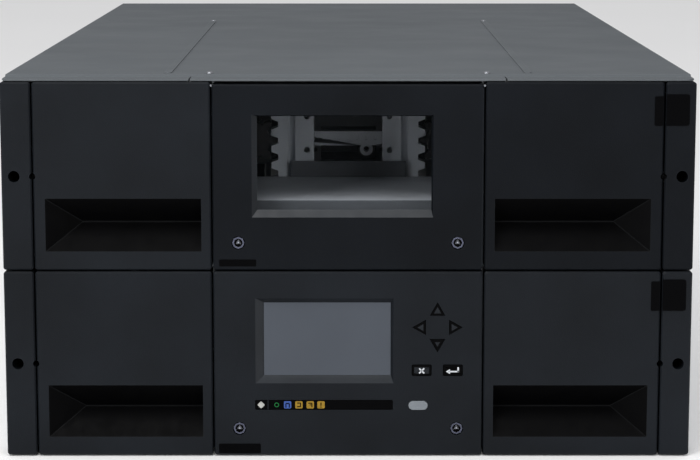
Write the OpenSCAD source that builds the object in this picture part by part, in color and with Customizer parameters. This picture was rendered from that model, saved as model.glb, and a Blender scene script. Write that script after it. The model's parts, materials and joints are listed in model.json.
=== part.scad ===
// Rack-style data tape library: a base module with an operator panel and an
// expansion module with a viewing window, stacked under one top cover.
// X runs across the front, Y runs from the front face to the back, Z is up.
// The origin is the middle of the underside.

/* [Casing] */
// Width of the front over the end caps
front_w = 482.6; // [460:0.2:520]
// Height of one module
module_h = 133; // [126:0.5:150]
// Depth from the front face to the back wall
case_d = 873; // [790:1:960]
// How far the front stands past the casing on each side
front_overhang = 2.3; // [1:0.1:5]
// Thickness of the sheet steel
sheet_t = 1.5; // [1:0.1:2]
// Reach of the handles behind the back wall
handle_reach = 19; // [14:1:30]
// Thickness of the top cover's sheet
cover_t = 1.2; // [0.8:0.1:1.6]
// Height of the step behind the cover's front strip
cover_step = 1.4; // [0.6:0.1:2]
// Depth of the cover's front strip
cover_strip = 23; // [15:1:50]
// Distance from the middle to each slit in the front strip
slit_x = 110; // [90:1:130]
// Height of the cover's side lips
cover_lip = 16; // [8:1:30]
// Distance from the middle to each bead on the cover
bead_x = 127; // [100:1:150]
// Width of a bead
bead_w = 5; // [3:0.5:8]
// Distance from the front strip to the start of each bead
bead_start = 12; // [4:1:60]
// Distance from the end of each bead to the back wall
bead_end = 296; // [250:1:400]

/* [Front] */
// Depth of the plastic bezels
bezel_d = 24; // [20:0.5:30]
// Wall thickness of the bezels
bezel_wall = 3; // [2:0.1:4]
// Chamfer round the front of each bezel
bezel_edge = 1; // [0.6:0.1:1.6]
// Corner radius of the bezels
bezel_r = 2; // [1.2:0.1:3]
// Gap between neighbouring bezels
seam = 1.2; // [0.6:0.1:1.6]
// Width of the centre panels with their share of the seams
centre_w = 190; // [176:0.5:206]
// How much lower the window panel's top lies than its neighbours'
centre_drop = 1.6; // [0:0.1:3]
// Width of an ear cap with its share of the seam
ear_w = 21.6; // [19:0.1:26]
// Distance from the outer edge to an ear hole's middle
ear_hole_edge = 8.75; // [7:0.05:10]
// Diameter of the ear holes
ear_hole = 8.2; // [6:0.1:10]
// Diameter of the lock access holes on the ear seams
lock_hole = 4.6; // [3:0.1:6]
// Diameter of the captive screws' heads
captive_d = 8.6; // [6:0.1:9]
// Distance from a centre panel's side seam to its captive screws
captive_edge = 18.3; // [14:0.1:30]

/* [Magazines] */
// Width of a tape cartridge, along the casing's depth
tape_w = 102; // [92:0.5:108]
// Length of a tape cartridge, across the casing
tape_l = 105.4; // [95:0.2:110]
// Thickness of a tape cartridge
tape_t = 21.5; // [19:0.1:24]
// Number of slots along one tier
columns = 4; // [3:1:4]
// Largest number of tiers
tiers = 5; // [3:1:5]
// Number of slots filled in each tier
loaded = 4; // [1:1:4]
// Thickness of the tray's shelves and walls
tray_wall = 1.5; // [1.2:0.1:1.8]
// Free room beside and above a cartridge in its slot
slot_play = 0.9; // [0.5:0.1:1]
// Distance from the outer seam to a magazine's finger pocket
pocket_outer = 8.4; // [6:0.1:14]
// Distance from the inner seam to a magazine's finger pocket
pocket_inner = 7.3; // [6:0.1:14]
// Height of a magazine's finger pocket
pocket_h = 37.4; // [25:0.5:42]
// Depth of a magazine's finger pocket
pocket_d = 17; // [12:0.5:18]

/* [Window] */
// Width of the window opening
window_w = 126.4; // [100:1:139]
// Height of the window opening
window_h = 72; // [55:1:79]
// Offset of the window's middle from the panel's middle
window_x = -3.8; // [-8:0.2:4]
// Distance from the window's top to the top of the module
window_top = 23.2; // [16:0.1:36]
// Width of the sloping sill under the window
window_sill = 5.1; // [2:0.1:7]
// Width of the slope on the window's left side
window_slope = 3.7; // [1:0.1:5]
// Width of the slopes on the window's top and right side
window_thin = 1.2; // [0.6:0.1:3]

/* [Operator panel] */
// Width of the display's glass
glass_w = 89.6; // [70:0.5:95]
// Height of the display's glass
glass_h = 52.6; // [40:0.5:58]
// Offset of the glass from the panel's middle
glass_x = -14.6; // [-17:0.1:-12]
// Distance from the glass's middle to the top of the module
glass_top = 49; // [40:0.1:52]
// Width of the sloping sill under the glass
display_sill = 5.2; // [2:0.1:7]
// Width of the slope on the display's left side
display_slope = 5.8; // [2:0.1:7]
// Width of the slope over the glass
display_head = 3.2; // [1:0.1:5]
// Width of the slope on the display's right side
display_thin = 1.9; // [1:0.1:3]
// Distance from the panel's right seam to the middle of the arrow keys
arrows_edge = 32.1; // [30:0.1:34]
// Distance from the arrow keys' middle to the top of the module
arrows_top = 40.3; // [34:0.1:44]
// Sideways pitch of the arrow keys
key_pitch_x = 25.6; // [22:0.2:28]
// Upright pitch of the arrow keys
key_pitch_z = 26; // [22:0.2:28]
// Size of an arrow key from base to tip
key_size = 8.6; // [6:0.1:10]
// How far a key or button can move before it meets the board
key_travel = 1; // [0.6:0.1:1.4]
// Clear gap round a key
key_gap = 0.4; // [0.3:0.05:0.6]
// Width of the status strip
status_w = 97.6; // [80:0.5:100]
// Height of the status strip
status_h = 7.4; // [5:0.2:9]

/* [Robot] */
// Module of the lift's rack and pinions
gear_m = 4; // [3.4:0.1:4.2]
// Number of teeth on a pinion
pinion_teeth = 8; // [8:1:9]
// Clear gap between a pinion and the magazines beside it
pinion_clear = 4.8; // [1:0.1:8]
// Depth of a rack along the casing
rack_d = 14; // [10:0.5:16]
// Distance from the front face to the front racks
aisle_front = 158; // [150:1:175]
// Room between the back racks and the tape drives
drive_room = 29; // [22:1:60]
// Diameter of the lift shafts
shaft_d = 6; // [5:0.5:7]
// Height of the lift shafts at rest above the lower module
lift_rest = 73; // [60:0.5:76]
// Height of the lift's cross beams
beam_h = 11; // [10:0.5:13]
// Thickness of the lift's cross beams
beam_t = 10; // [8:0.5:12]
// Diameter of the carriage's guide rods
rod_d = 8; // [6:0.5:9]
// Distance from the middle to each guide rod
rod_x = 36; // [32:0.5:40]
// Radius of the turntable
table_r = 52; // [46:0.5:54]

/* [Back] */
// Width of a tape drive's sled
drive_w = 148; // [138:0.5:156]
// Height of a tape drive's sled
drive_h = 41.4; // [37:0.1:45]
// Length of a tape drive inside the casing
drive_len = 262; // [240:1:290]
// Width of a power supply
supply_w = 58; // [50:0.5:60]
// Height of a power supply
supply_h = 40.4; // [36:0.1:42]
// Length of a power supply inside the casing
supply_len = 200; // [160:1:240]
// Length of the controller card inside the casing
card_len = 170; // [120:1:240]
// Clear gap round each slide-in unit
bay_gap = 0.5; // [0.4:0.05:0.8]

/* [Hidden] */
$fn = 48;

// Small amounts: a sliding gap, a hair for clean cuts, a shaft's radial clearance
slide_gap = 0.2;
hair = 0.01;
run_fit = 0.05;
cut = 1;

// Overall depth, and where the front face lies
key_proud = 0.6;
total_d = key_proud + case_d + handle_reach;
front_y = key_proud - total_d / 2;
stack_h = 2 * module_h;
case_w = front_w - 2 * front_overhang;
case_inner = case_w / 2 - sheet_t;

// Seams across the front, and the back of its sheet frame
ear_seam = front_w / 2 - ear_w;
mag_w = ear_seam - centre_w / 2;
ear_pitch = front_w - 2 * ear_hole_edge;
bezel_h = module_h - seam;
frame_back = bezel_d + sheet_t;
access_z = module_h / 2;
wall_flange = 14;

// Top cover
cover_set_back = 3;
cover_back_lip = 4.5;
cover_corner = 6;
slit_w = 1.2;
bead_rise = 0.8;
cover_screw_r = 1.4;
hook_slot_w = 12;
hook_slot_d = 3;

// Magazine tray, measured from the front face and the module's underside
tray_in = centre_w / 2 + 2;
tray_out = tray_in + tape_l + 2 * slot_play + tray_wall;
tray_z = 4;
tray_head = 7;
tier_pitch = tape_t + slot_play + tray_wall;
tiers_held = min(tiers, floor((module_h - tray_z - tray_head - tray_wall) / tier_pitch));
tray_h = tiers_held * tier_pitch + tray_wall;
column_pitch = tape_w + 2 * slot_play + tray_wall;
tray_start = frame_back + 14;
tray_end = tray_start + columns * column_pitch + tray_wall;
foot_w = 8;
foot_inset = 16;
mouth_room = 0.6;
mouth_head = 1;
notch_reach = 14;
notch_w = 44;
notch_r = 8;
wall_window_w = 58;
wall_window_h = 12;
guide_z = 16;
guide_head = 8;

// Tape cartridge
tape_r = 3;
tape_groove = 8;
tape_groove_w = 1.6;
tape_groove_l = 14;
tape_rim = 5;
tape_mouth_w = 72;
tape_mouth_d = 1.4;
tape_hub_r = 14;
tape_hub_d = 2.4;

// Finger pocket in a magazine's bezel
pocket_w = mag_w - pocket_outer - pocket_inner;
pocket_x = ear_seam - pocket_outer - pocket_w / 2;
pocket_z = 32.4;
pocket_wall = 2;
pocket_ridge = 24;
pocket_draft = 1;
pocket_edge = 0.4;

// Captive screws on the centre panels
captive_x = centre_w / 2 - captive_edge;
captive_z = 19.8;
captive_head = 3;
captive_rim = 1.2;
captive_play = 0.5;
captive_boss_r = 6.5;
captive_shank_r = 2;
captive_hole_r = captive_shank_r + 0.3;
captive_seat = bezel_wall + 0.6;

// Centre opening of the front frame
frame_open_x = centre_w / 2 - 6;
frame_open_z = 30;
frame_open_top = 6;

// Window
window_z = module_h - window_top - window_h / 2;
pane_t = 2;
pane_lap = 3;
pane_w = window_w - window_slope - window_thin;
pane_h = window_h - window_sill - window_thin;
pane_x = window_x + (window_slope - window_thin) / 2;
pane_z = window_z + (window_sill - window_thin) / 2;
deck_z = 46.2;
deck_x = frame_open_x + 4;
deck_lip = 8;
deck_back = aisle_front - 5;
deck_rise = 12;
deck_corner = 18;
deck_rise_half = 44;

// Operator panel: places measured from the panel's middle and the underside
glass_z = module_h - glass_top;
glass_play = 0.2;
glass_d = 2.4;
recess_w = glass_w + display_slope + display_thin;
recess_h = glass_h + display_sill + display_head;
recess_x = glass_x - (display_slope - display_thin) / 2;
recess_z = glass_z - (display_sill - display_head) / 2;
display_body_d = 7;
display_body_lap = 3;
arrows_x = centre_w / 2 - arrows_edge;
arrows_z = module_h - arrows_top;
command_x = 11;
command_z = arrows_z - 30.8;
command_w = 13.4;
command_h = 7.6;
command_r = 1.2;
power_x = arrows_x - 13.4;
power_z = 36.5;
power_w = 13.6;
power_h = 6.4;
status_x = -17;
status_z = 36.9;
status_deep = 1;
status_proud = 0.2;
status_r = 1.2;
key_flange = 0.8;
key_flange_t = 1;
key_stem_r = 1.8;
key_wall_gap = 0.1;
key_rear = bezel_wall + key_flange_t;
key_stem_end = 9;
board_t = 1.6;
board_gap = 0.6;
board_front = key_stem_end + key_travel + board_gap;
board_half = 27;
board_bottom = 28;
board_top = module_h - 8;
post_r = 3;
post_inset = 3;
post_end_gap = 5;
post_low = 18;

// Back: a cage for the slide-in drives, and bays beside it
face_t = 1.5;
cage_x = drive_w / 2 + bay_gap;
cage_lead = 12;
bay_pitch = drive_h + bay_gap;
bays = floor((module_h - 2 * sheet_t) / bay_pitch);
drive_front = case_d - drive_len;
flange_lap = 5;
supply_lap = 3;
supply_x0 = cage_x + sheet_t + 10;
supply_pitch = supply_w + 2 * supply_lap + 1;
card_w = 118;
card_h = 36;
card_t = 2;
card_bracket_d = 24;
card_bracket_in = 4;
handle_bar = 4;
port_w = 14;
port_h = 12;
port_deep = 8;
drive_handle_x = 26;
drive_handle_span = 40;
drive_handle_z = 6;
drive_mouth_play = 1.5;
drive_mouth_z = 8;
drive_mouth_len = 112;
drive_ports = [-6, 14];
drive_port_z = 22;
drive_fan = [6, 11, 16];
drive_fan_in = 22;
fan_slot = 2.4;
fan_deep = 1;
inlet_x = 3;
inlet_z = 10;
inlet_w = 24;
inlet_h = 19;
inlet_deep = 14;
pin_h = 4;
pin_w = 2;
pin_reach = 10;
supply_fan = [4, 8, 12];
supply_fan_in = 14;
supply_fan_slot = 2;
supply_handle_in = 5;
card_ports = [20, 40, 84];
card_port_z = 12;
card_slots = [62, 72];
card_slot_w = 6;
card_slot_h = 14;
card_slot_z = 11;
vent_pitch = 7;
vent_w = 3;
vents_across = 15;
vent_low = 62;
vent_top = 27;
thumb_r = 3.2;
thumb_len = 6;
thumb_in = 8;

// Robot aisle: racks at its front and back corners
aisle_back = drive_front - drive_room - rack_d;
pitch_r = gear_m * pinion_teeth / 2;
rack_addendum = 0.4 * gear_m;
rack_dedendum = 0.9 * gear_m;
gear_addendum = 0.8 * gear_m;
gear_dedendum = 0.55 * gear_m;
gear_side_play = 1;
backlash = 0.5;
shaft_x = tray_in - pinion_clear - gear_addendum - pitch_r;
rack_x = shaft_x - pitch_r;
rack_back_x = rack_x - rack_dedendum - 8;
post_w = 19.4;
post_in = rack_back_x - post_w;
post_fold = post_in + 12.4;
post_sheet = 2;
post_channel = 8;
post_top = stack_h - 1;
post_hole_r = 2.2;
post_hole_x = 5.5;
post_hole_pitch = 25.6;
post_hole_top = 15.9;
lift_z = module_h + lift_rest;
beam_gap = 2;
beam_front = aisle_front + rack_d + beam_gap;
beam_back = aisle_back - beam_gap;
beam_x = shaft_x + 9;
rail_t = 4;
motor_r = 7;
motor_x = 14;
motor_len = 20;
motor_z = lift_z - beam_h / 2 - 2.8;
motor_lug = 5;
motor_sight = 2.2;
mark_pitch = 7;
mark_w = 2;
carriage_d = (aisle_front + rack_d + aisle_back) / 2;
carriage_x = rod_x + 12;
carriage_half = 50;
carriage_half_h = 7;
hub_r = 10;
table_t = 3;
table_z = lift_z + carriage_half_h + 0.3;
cradle_x = tape_w / 2 + slot_play;
cradle_wall = 1.8;
cradle_h = 24;
cradle_t = 2;
cradle_floor = table_z + table_t + cradle_t;
picker_back = 4;
picker_bar = 10;
picker_bar_h = 14;
picker_block = 16;
picker_block_d = 22;
picker_block_h = 18;
finger_w = 5;
finger_h = 8;
finger_tip = 3;
finger_tip_d = 4;
reader_w = 11;
reader_half = 14;
reader_low = 2;
reader_high = 16;
reader_wall = 2;

// Colours
casing_grey = [0.36, 0.37, 0.38];
zinc_grey = [0.62, 0.64, 0.66];
bezel_black = [0.11, 0.12, 0.14];
deep_black = [0.03, 0.03, 0.035];
tray_grey = [0.25, 0.26, 0.28];

// ---- Shared shapes ----

// A box between two corners
module block(x0, x1, d0, d1, z0, z1)
    translate([x0, d0, z0]) cube([x1 - x0, d1 - d0, z1 - z0]);

// Puts a module's parts at the front of its level in the stack
module at_level(level) translate([0, front_y, level * module_h]) children();

// Children and their mirror image across the middle
module both_sides() {
    children();
    mirror([1, 0, 0]) children();
}

// side is -1 for the left and 1 for the right
module on_side(side) {
    if (side > 0) children();
    else mirror([1, 0, 0]) children();
}

module round_rect(w, h, r) {
    translate([-w / 2 + r, -h / 2]) square([w - 2 * r, h]);
    translate([-w / 2, -h / 2 + r]) square([w, h - 2 * r]);
    for (sx = [-1, 1], sz = [-1, 1])
        translate([sx * (w / 2 - r), sz * (h / 2 - r)]) circle(r);
}

// Extrudes an outline drawn in X and Z from depth d0 to d1
module front_extrude(d0, d1)
    translate([0, d1, 0]) rotate([90, 0, 0]) linear_extrude(d1 - d0) children();

// A round bar or bore along the depth
module rod_y(r, d0, d1)
    translate([0, d0, 0]) rotate([-90, 0, 0]) cylinder(r = r, h = d1 - d0);

// A recess whose outline shrinks on its left, right, lower and upper side
module sloped_cut(w, h, left, right, low, high, d0, d1)
    hull() {
        front_extrude(d0, d0 + hair) square([w, h], center = true);
        front_extrude(d1 - hair, d1)
            translate([(left - right) / 2, (low - high) / 2])
                square([w - left - right, h - low - high], center = true);
    }

// Moulded front with a chamfered rim, centred on x and z
module bezel_blank(w, h) {
    hull() {
        front_extrude(0, hair) round_rect(w - 2 * bezel_edge, h - 2 * bezel_edge, bezel_r, $fn = 32);
        front_extrude(bezel_edge, bezel_edge + hair) round_rect(w, h, bezel_r, $fn = 32);
    }
    front_extrude(bezel_edge, bezel_d) round_rect(w, h, bezel_r);
}

// The blank hollowed out from behind
module bezel_shell(w, h)
    difference() {
        bezel_blank(w, h);
        block(-w / 2 + bezel_wall, w / 2 - bezel_wall, bezel_wall, bezel_d + cut,
            -h / 2 + bezel_wall, h / 2 - bezel_wall);
    }

// ---- Casing ----

// Ear holes and centre-panel screw holes through the front frame
module frame_holes() {
    both_sides() translate([ear_pitch / 2, 0, access_z])
        rod_y(ear_hole / 2, bezel_d - cut, frame_back + cut);
    both_sides() translate([captive_x, 0, captive_z])
        rod_y(captive_hole_r, bezel_d - cut, frame_back + cut);
}

// Folded front frame with its magazine mouths and the aisle opening
module front_frame()
    difference() {
        block(-front_w / 2, front_w / 2, bezel_d, frame_back, 0, module_h);
        both_sides() block(tray_in - mouth_room, tray_out + mouth_room,
            bezel_d - cut, frame_back + cut, sheet_t, tray_z + tray_h + mouth_head);
        block(-frame_open_x, frame_open_x, bezel_d - cut, frame_back + cut,
            frame_open_z, module_h - frame_open_top);
        frame_holes();
    }

module side_wall() {
    block(case_inner, case_w / 2, frame_back, case_d - sheet_t, 0, module_h);
    block(case_w / 2 - wall_flange, case_w / 2, frame_back, case_d - sheet_t,
        module_h - sheet_t, module_h);
}

// Upright plates that guide the slide-in drives at the back
module drive_cage()
    block(cage_x, cage_x + sheet_t, drive_front - cage_lead, case_d - sheet_t,
        0, sheet_t + bays * bay_pitch);

module chassis(level, aisle_open)
    at_level(level) {
        front_frame();
        both_sides() side_wall();
        both_sides() drive_cage();
        difference() {
            block(-case_w / 2, case_w / 2, frame_back, case_d - sheet_t, 0, sheet_t);
            if (aisle_open)
                block(-tray_in + 1, tray_in - 1, aisle_front - 4, aisle_back + rack_d + 8,
                    -cut, sheet_t + cut);
        }
    }

module base_chassis() color(zinc_grey) chassis(0, false);
module expansion_chassis() color(zinc_grey) chassis(1, true);

// Sheet profile along the depth: front strip, step, main field, back lip
module cover_profile() {
    low = 0;
    high = cover_step;
    strip = cover_strip;
    back = case_d + slide_gap;
    front = cover_set_back;
    polygon([
        [front, low], [front, low + cover_t], [strip, low + cover_t],
        [strip + high, high + cover_t], [back + cover_t, high + cover_t],
        [back + cover_t, -cover_back_lip], [back, -cover_back_lip],
        [back, high], [strip + high + 0.4, high], [strip + 0.4, low]
    ]);
}

cover_half = case_w / 2 + slide_gap + cover_t;

module cover_field()
    intersection() {
        rotate([90, 0, 90]) translate([0, 0, -cover_half])
            linear_extrude(2 * cover_half) cover_profile();
        translate([0, cover_set_back, -10]) linear_extrude(20) {
            translate([-cover_half, cover_corner]) square([2 * cover_half, total_d]);
            translate([cover_corner - cover_half, 0])
                square([2 * (cover_half - cover_corner), 2 * cover_corner]);
            both_sides() translate([cover_half - cover_corner, cover_corner])
                circle(cover_corner);
        }
    }

// Depth of the cover's step edge, of each bead's two ends and of the screw holes
cover_edge = cover_strip + cover_step;
bead_from = cover_strip + bead_start;
bead_to = case_d - bead_end;

// Long embossed bead with round ends
module cover_bead()
    translate([bead_x, 0, cover_step + cover_t - hair]) linear_extrude(bead_rise + hair) {
        translate([-bead_w / 2, bead_from]) square([bead_w, bead_to - bead_from]);
        for (d = [bead_from, bead_to]) translate([0, d]) circle(bead_w / 2);
    }

function cover_screw_places() = [
    [centre_w / 2 + 2.5, cover_edge + 7], [bead_x, bead_to + bead_w / 2 + 5]];

// Slots that locate the hooks of a module stacked on top
function hook_slots() = [[case_w / 2 - 17, case_d - 271], [case_w / 2 - 97, case_d - 231],
    [case_w / 2 - 97, case_d - 12]];

module top_cover()
    color(casing_grey) at_level(2) difference() {
        union() {
            cover_field();
            both_sides() block(cover_half - cover_t, cover_half, cover_edge + 2,
                case_d + slide_gap, -cover_lip, cover_step + hair);
            both_sides() cover_bead();
        }
        both_sides() for (p = cover_screw_places())
            translate([p[0], p[1], -cut]) cylinder(r = cover_screw_r, h = 6);
        both_sides() block(slit_x - slit_w / 2, slit_x + slit_w / 2, 0, cover_strip,
            -cut, 6);
        both_sides() for (p = hook_slots())
            block(p[0] - hook_slot_w / 2, p[0] + hook_slot_w / 2,
                p[1], p[1] + hook_slot_d, -cut, 6);
    }

// Domed head on the cover and a shank through its hole
module cover_screws()
    color(zinc_grey) at_level(2) both_sides() for (p = cover_screw_places())
        translate([p[0], p[1], cover_step + cover_t]) {
            cylinder(r1 = 2 * cover_screw_r, r2 = 2 * cover_screw_r - 0.8, h = 1.4);
            translate([0, 0, -cover_t - 1])
                cylinder(r = cover_screw_r - 0.3, h = cover_t + 1 + hair);
        }

// ---- Back panels ----

// A row of upright vent slots beside the cage
module vents()
    for (i = [0 : vents_across - 1])
        block(supply_x0 + 4 + i * vent_pitch, supply_x0 + 4 + i * vent_pitch + vent_w,
            case_d - sheet_t - cut, case_d + cut, vent_low, module_h - vent_top);

module rear_panel(level)
    at_level(level) difference() {
        block(-case_w / 2, case_w / 2, case_d - sheet_t, case_d, 0, module_h);
        block(-cage_x, cage_x, case_d - sheet_t - cut, case_d + cut,
            sheet_t, sheet_t + bays * bay_pitch);
        both_sides() vents();
        children();
    }

module supply_bays()
    for (i = [0, 1])
        block(supply_x0 + i * supply_pitch - bay_gap, supply_x0 + i * supply_pitch + supply_w + bay_gap,
            case_d - sheet_t - cut, case_d + cut, sheet_t, sheet_t + supply_h + bay_gap);

module card_bay()
    block(-supply_x0 - card_w - bay_gap, -supply_x0 + bay_gap, case_d - sheet_t - cut,
        case_d + cut, sheet_t, sheet_t + card_h + bay_gap);

module base_rear_panel() color(zinc_grey) rear_panel(0) {
    supply_bays();
    card_bay();
}
module expansion_rear_panel() color(zinc_grey) rear_panel(1);

// Blank plates over the empty drive bays
module bay_covers()
    color(zinc_grey) for (level = [0, 1], bay = [1 : bays - 1])
        at_level(level) translate([0, 0, sheet_t + bay * bay_pitch])
            block(-cage_x - flange_lap, cage_x + flange_lap, case_d, case_d + face_t, 0, drive_h);

// Thumbscrew with a slot across its head
module thumbscrew(d)
    difference() {
        rod_y(thumb_r, d, d + thumb_len);
        block(-0.5, 0.5, d + thumb_len - 1.2, d + thumb_len + cut, -4, 4);
    }

module rear_thumbscrews()
    color("silver") {
        for (level = [0, 1], bay = [1 : bays - 1])
            at_level(level) both_sides()
                translate([cage_x - thumb_in, 0, sheet_t + bay * bay_pitch + drive_h / 2])
                    thumbscrew(case_d + face_t);
        at_level(0) for (x = [thumb_in, card_w - thumb_in])
            translate([-supply_x0 - x, 0, sheet_t + card_h / 2])
                thumbscrew(case_d + face_t);
    }

// ---- Front caps and bezels ----

module ear_cap(level, side)
    color(bezel_black) at_level(level) on_side(side) difference() {
        translate([ear_seam + ear_w / 2 + seam / 4, 0, access_z])
            bezel_blank(ear_w - seam / 2, bezel_h);
        translate([ear_pitch / 2, 0, access_z]) rod_y(ear_hole / 2, -cut, bezel_d + cut);
        translate([ear_seam, 0, access_z]) rod_y(lock_hole / 2, -cut, bezel_d + cut);
    }

module ear_cap_base_left() ear_cap(0, -1);
module ear_cap_base_right() ear_cap(0, 1);
module ear_cap_expansion_left() ear_cap(1, -1);
module ear_cap_expansion_right() ear_cap(1, 1);

// Screw boss with its recess, on both sides of a centre panel
module captive_boss()
    both_sides() translate([captive_x, 0, captive_z])
        rod_y(captive_boss_r, bezel_wall - 1, bezel_d);

module captive_hole()
    both_sides() translate([captive_x, 0, captive_z]) {
        rod_y(captive_d / 2 + captive_play, -cut, captive_seat);
        rod_y(captive_hole_r, 0, bezel_d + cut);
    }

module captive_screws()
    color("silver") for (level = [0, 1]) at_level(level) both_sides()
        translate([captive_x, 0, captive_z]) difference() {
            union() {
                rod_y(captive_d / 2, captive_seat - captive_head, captive_seat);
                rod_y(captive_shank_r, bezel_wall, frame_back + 4);
            }
            rod_y(captive_d / 2 - captive_rim, 0, captive_seat - captive_head + 0.6);
        }

module window_bezel()
    color(bezel_black) at_level(1) difference() {
        union() {
            translate([0, 0, access_z - centre_drop / 2])
                bezel_shell(centre_w - seam, bezel_h - centre_drop);
            captive_boss();
        }
        translate([window_x, 0, window_z])
            sloped_cut(window_w, window_h, window_slope, window_thin, window_sill, window_thin,
                -hair, bezel_wall + hair);
        captive_hole();
    }

module window_pane()
    color([0.5, 0.55, 0.6, 0.4]) at_level(1) translate([pane_x, 0, pane_z])
        front_extrude(bezel_wall, bezel_wall + pane_t)
            square([pane_w + 2 * pane_lap, pane_h + 2 * pane_lap], center = true);

// Folded shelf behind the window, with a lip in front and a rise at the back
module window_deck()
    color(zinc_grey) at_level(1) {
        difference() {
            block(-deck_x, deck_x, frame_back, deck_back, deck_z - sheet_t, deck_z);
            both_sides() translate([deck_x, deck_back, 0]) rotate([0, 0, 45])
                cube([deck_corner, deck_corner, 3 * module_h], center = true);
        }
        block(-deck_x, deck_x, frame_back, frame_back + sheet_t, deck_z - deck_lip, deck_z);
        block(-deck_rise_half, deck_rise_half, deck_back - sheet_t, deck_back,
            deck_z - sheet_t, deck_z + deck_rise);
    }

// ---- Operator panel ----

// Outline of an arrow key pointing along turn, grown by more on every side
module arrow_outline(turn, more) {
    tip = key_size / 2 + 1.8 * more;
    base = key_size / 2 + more;
    wide = key_size / 2 + 0.6 + 1.6 * more;
    rotate(turn) polygon([[0, tip], [-wide, -base], [wide, -base]]);
}

module command_outline(more)
    round_rect(command_w + 2 * more, command_h + 2 * more, command_r);

module power_outline(more)
    round_rect(power_w + 2 * more, power_h + 2 * more, power_h / 2 + more - hair);

// Places of the seven keys on the panel
up_place = [arrows_x, arrows_z + key_pitch_z / 2];
down_place = [arrows_x, arrows_z - key_pitch_z / 2];
left_place = [arrows_x - key_pitch_x / 2, arrows_z];
right_place = [arrows_x + key_pitch_x / 2, arrows_z];
back_place = [arrows_x - command_x, command_z];
enter_place = [arrows_x + command_x, command_z];
power_place = [power_x, power_z];

module at_key(p) translate([p[0], 0, p[1]]) children();

module key_openings() {
    at_key(up_place) front_extrude(-cut, bezel_wall + cut) arrow_outline(0, key_gap);
    at_key(down_place) front_extrude(-cut, bezel_wall + cut) arrow_outline(180, key_gap);
    at_key(left_place) front_extrude(-cut, bezel_wall + cut) arrow_outline(90, key_gap);
    at_key(right_place) front_extrude(-cut, bezel_wall + cut) arrow_outline(-90, key_gap);
    at_key(back_place) front_extrude(-cut, bezel_wall + cut) command_outline(key_gap);
    at_key(enter_place) front_extrude(-cut, bezel_wall + cut) command_outline(key_gap);
    at_key(power_place) front_extrude(-cut, bezel_wall + cut) power_outline(key_gap);
}

// Posts behind the panel that carry the key board
board_posts = [for (side = [-1, 1], z = [board_top - post_end_gap, board_bottom + post_low])
    [arrows_x + side * (board_half - post_inset), z]];

module operator_panel()
    color(bezel_black) at_level(0) difference() {
        union() {
            translate([0, 0, access_z]) bezel_shell(centre_w - seam, bezel_h);
            captive_boss();
            for (p = board_posts) at_key(p) rod_y(post_r, bezel_wall - hair, board_front);
        }
        at_key([recess_x, recess_z])
            sloped_cut(recess_w, recess_h, display_slope, display_thin, display_sill,
                display_head, -hair, glass_d + hair);
        at_key([glass_x, glass_z]) front_extrude(glass_d - hair, bezel_wall + cut)
            square([glass_w, glass_h], center = true);
        at_key([status_x, status_z]) front_extrude(-cut, status_deep)
            round_rect(status_w, status_h, status_r);
        key_openings();
        captive_hole();
    }

module display_module()
    color(deep_black) at_level(0) at_key([glass_x, glass_z])
        front_extrude(bezel_wall, bezel_wall + display_body_d)
            square([glass_w + 2 * display_body_lap, glass_h + 2 * display_body_lap],
                center = true);

module display_glass()
    color([0.33, 0.36, 0.39]) at_level(0) at_key([glass_x, glass_z])
        front_extrude(glass_d, bezel_wall)
            square([glass_w - 2 * glass_play, glass_h - 2 * glass_play], center = true);

module status_lens()
    color(deep_black) at_level(0) at_key([status_x, status_z])
        front_extrude(status_proud, status_deep)
            round_rect(status_w - 2 * glass_play, status_h - 2 * glass_play, status_r - 0.1);

module key_board()
    color([0.1, 0.25, 0.16]) at_level(0) block(arrows_x - board_half, arrows_x + board_half,
        board_front, board_front + board_t, board_bottom, board_top);

// A key: the cap in the opening, a flange behind the wall and a stem
module key_solid(p)
    at_level(0) at_key(p) {
        children();
        rod_y(key_stem_r, key_rear - hair, key_stem_end);
    }

module arrow_key(p, turn)
    color(bezel_black) key_solid(p) {
        front_extrude(-key_proud, bezel_wall + key_wall_gap) arrow_outline(turn, 0);
        front_extrude(bezel_wall + key_wall_gap, key_rear) arrow_outline(turn, key_flange);
    }

module key_up() arrow_key(up_place, 0);
module key_down() arrow_key(down_place, 180);
module key_left() arrow_key(left_place, 90);
module key_right() arrow_key(right_place, -90);

module command_key(p)
    color(bezel_black) key_solid(p) {
        front_extrude(-key_proud, bezel_wall + key_wall_gap) command_outline(0);
        front_extrude(bezel_wall + key_wall_gap, key_rear) command_outline(key_flange);
    }

module key_back() command_key(back_place);
module key_enter() command_key(enter_place);

module power_button()
    color("silver") key_solid(power_place) {
        front_extrude(-key_proud, bezel_wall + key_wall_gap) power_outline(0);
        front_extrude(bezel_wall + key_wall_gap, key_rear) power_outline(key_flange);
    }

// ---- Magazines ----

// Wedge-shaped pocket: its upper and lower slopes meet in a level ridge that runs
// from the upright inner end to the sloping outer end
module pocket_wedge(more)
    translate([pocket_x, 0, pocket_z]) hull() {
        front_extrude(0, hair)
            square([pocket_w + 2 * more, pocket_h + 2 * more], center = true);
        block(pocket_draft - pocket_w / 2 - more, pocket_w / 2 - pocket_ridge,
            pocket_d + more - hair, pocket_d + more, -pocket_edge - more, pocket_edge + more);
    }

module magazine_bezel(level, side)
    color(bezel_black) at_level(level) on_side(side) difference() {
        union() {
            translate([centre_w / 2 + mag_w / 2, 0, access_z])
                bezel_shell(mag_w - seam, bezel_h);
            translate([0, bezel_edge, 0]) pocket_wedge(pocket_wall);
        }
        pocket_wedge(0);
        translate([pocket_x, 0, pocket_z]) front_extrude(-cut, hair)
            square([pocket_w, pocket_h], center = true);
        translate([ear_seam, 0, access_z]) rod_y(lock_hole / 2, -cut, bezel_d + cut);
    }

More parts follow.
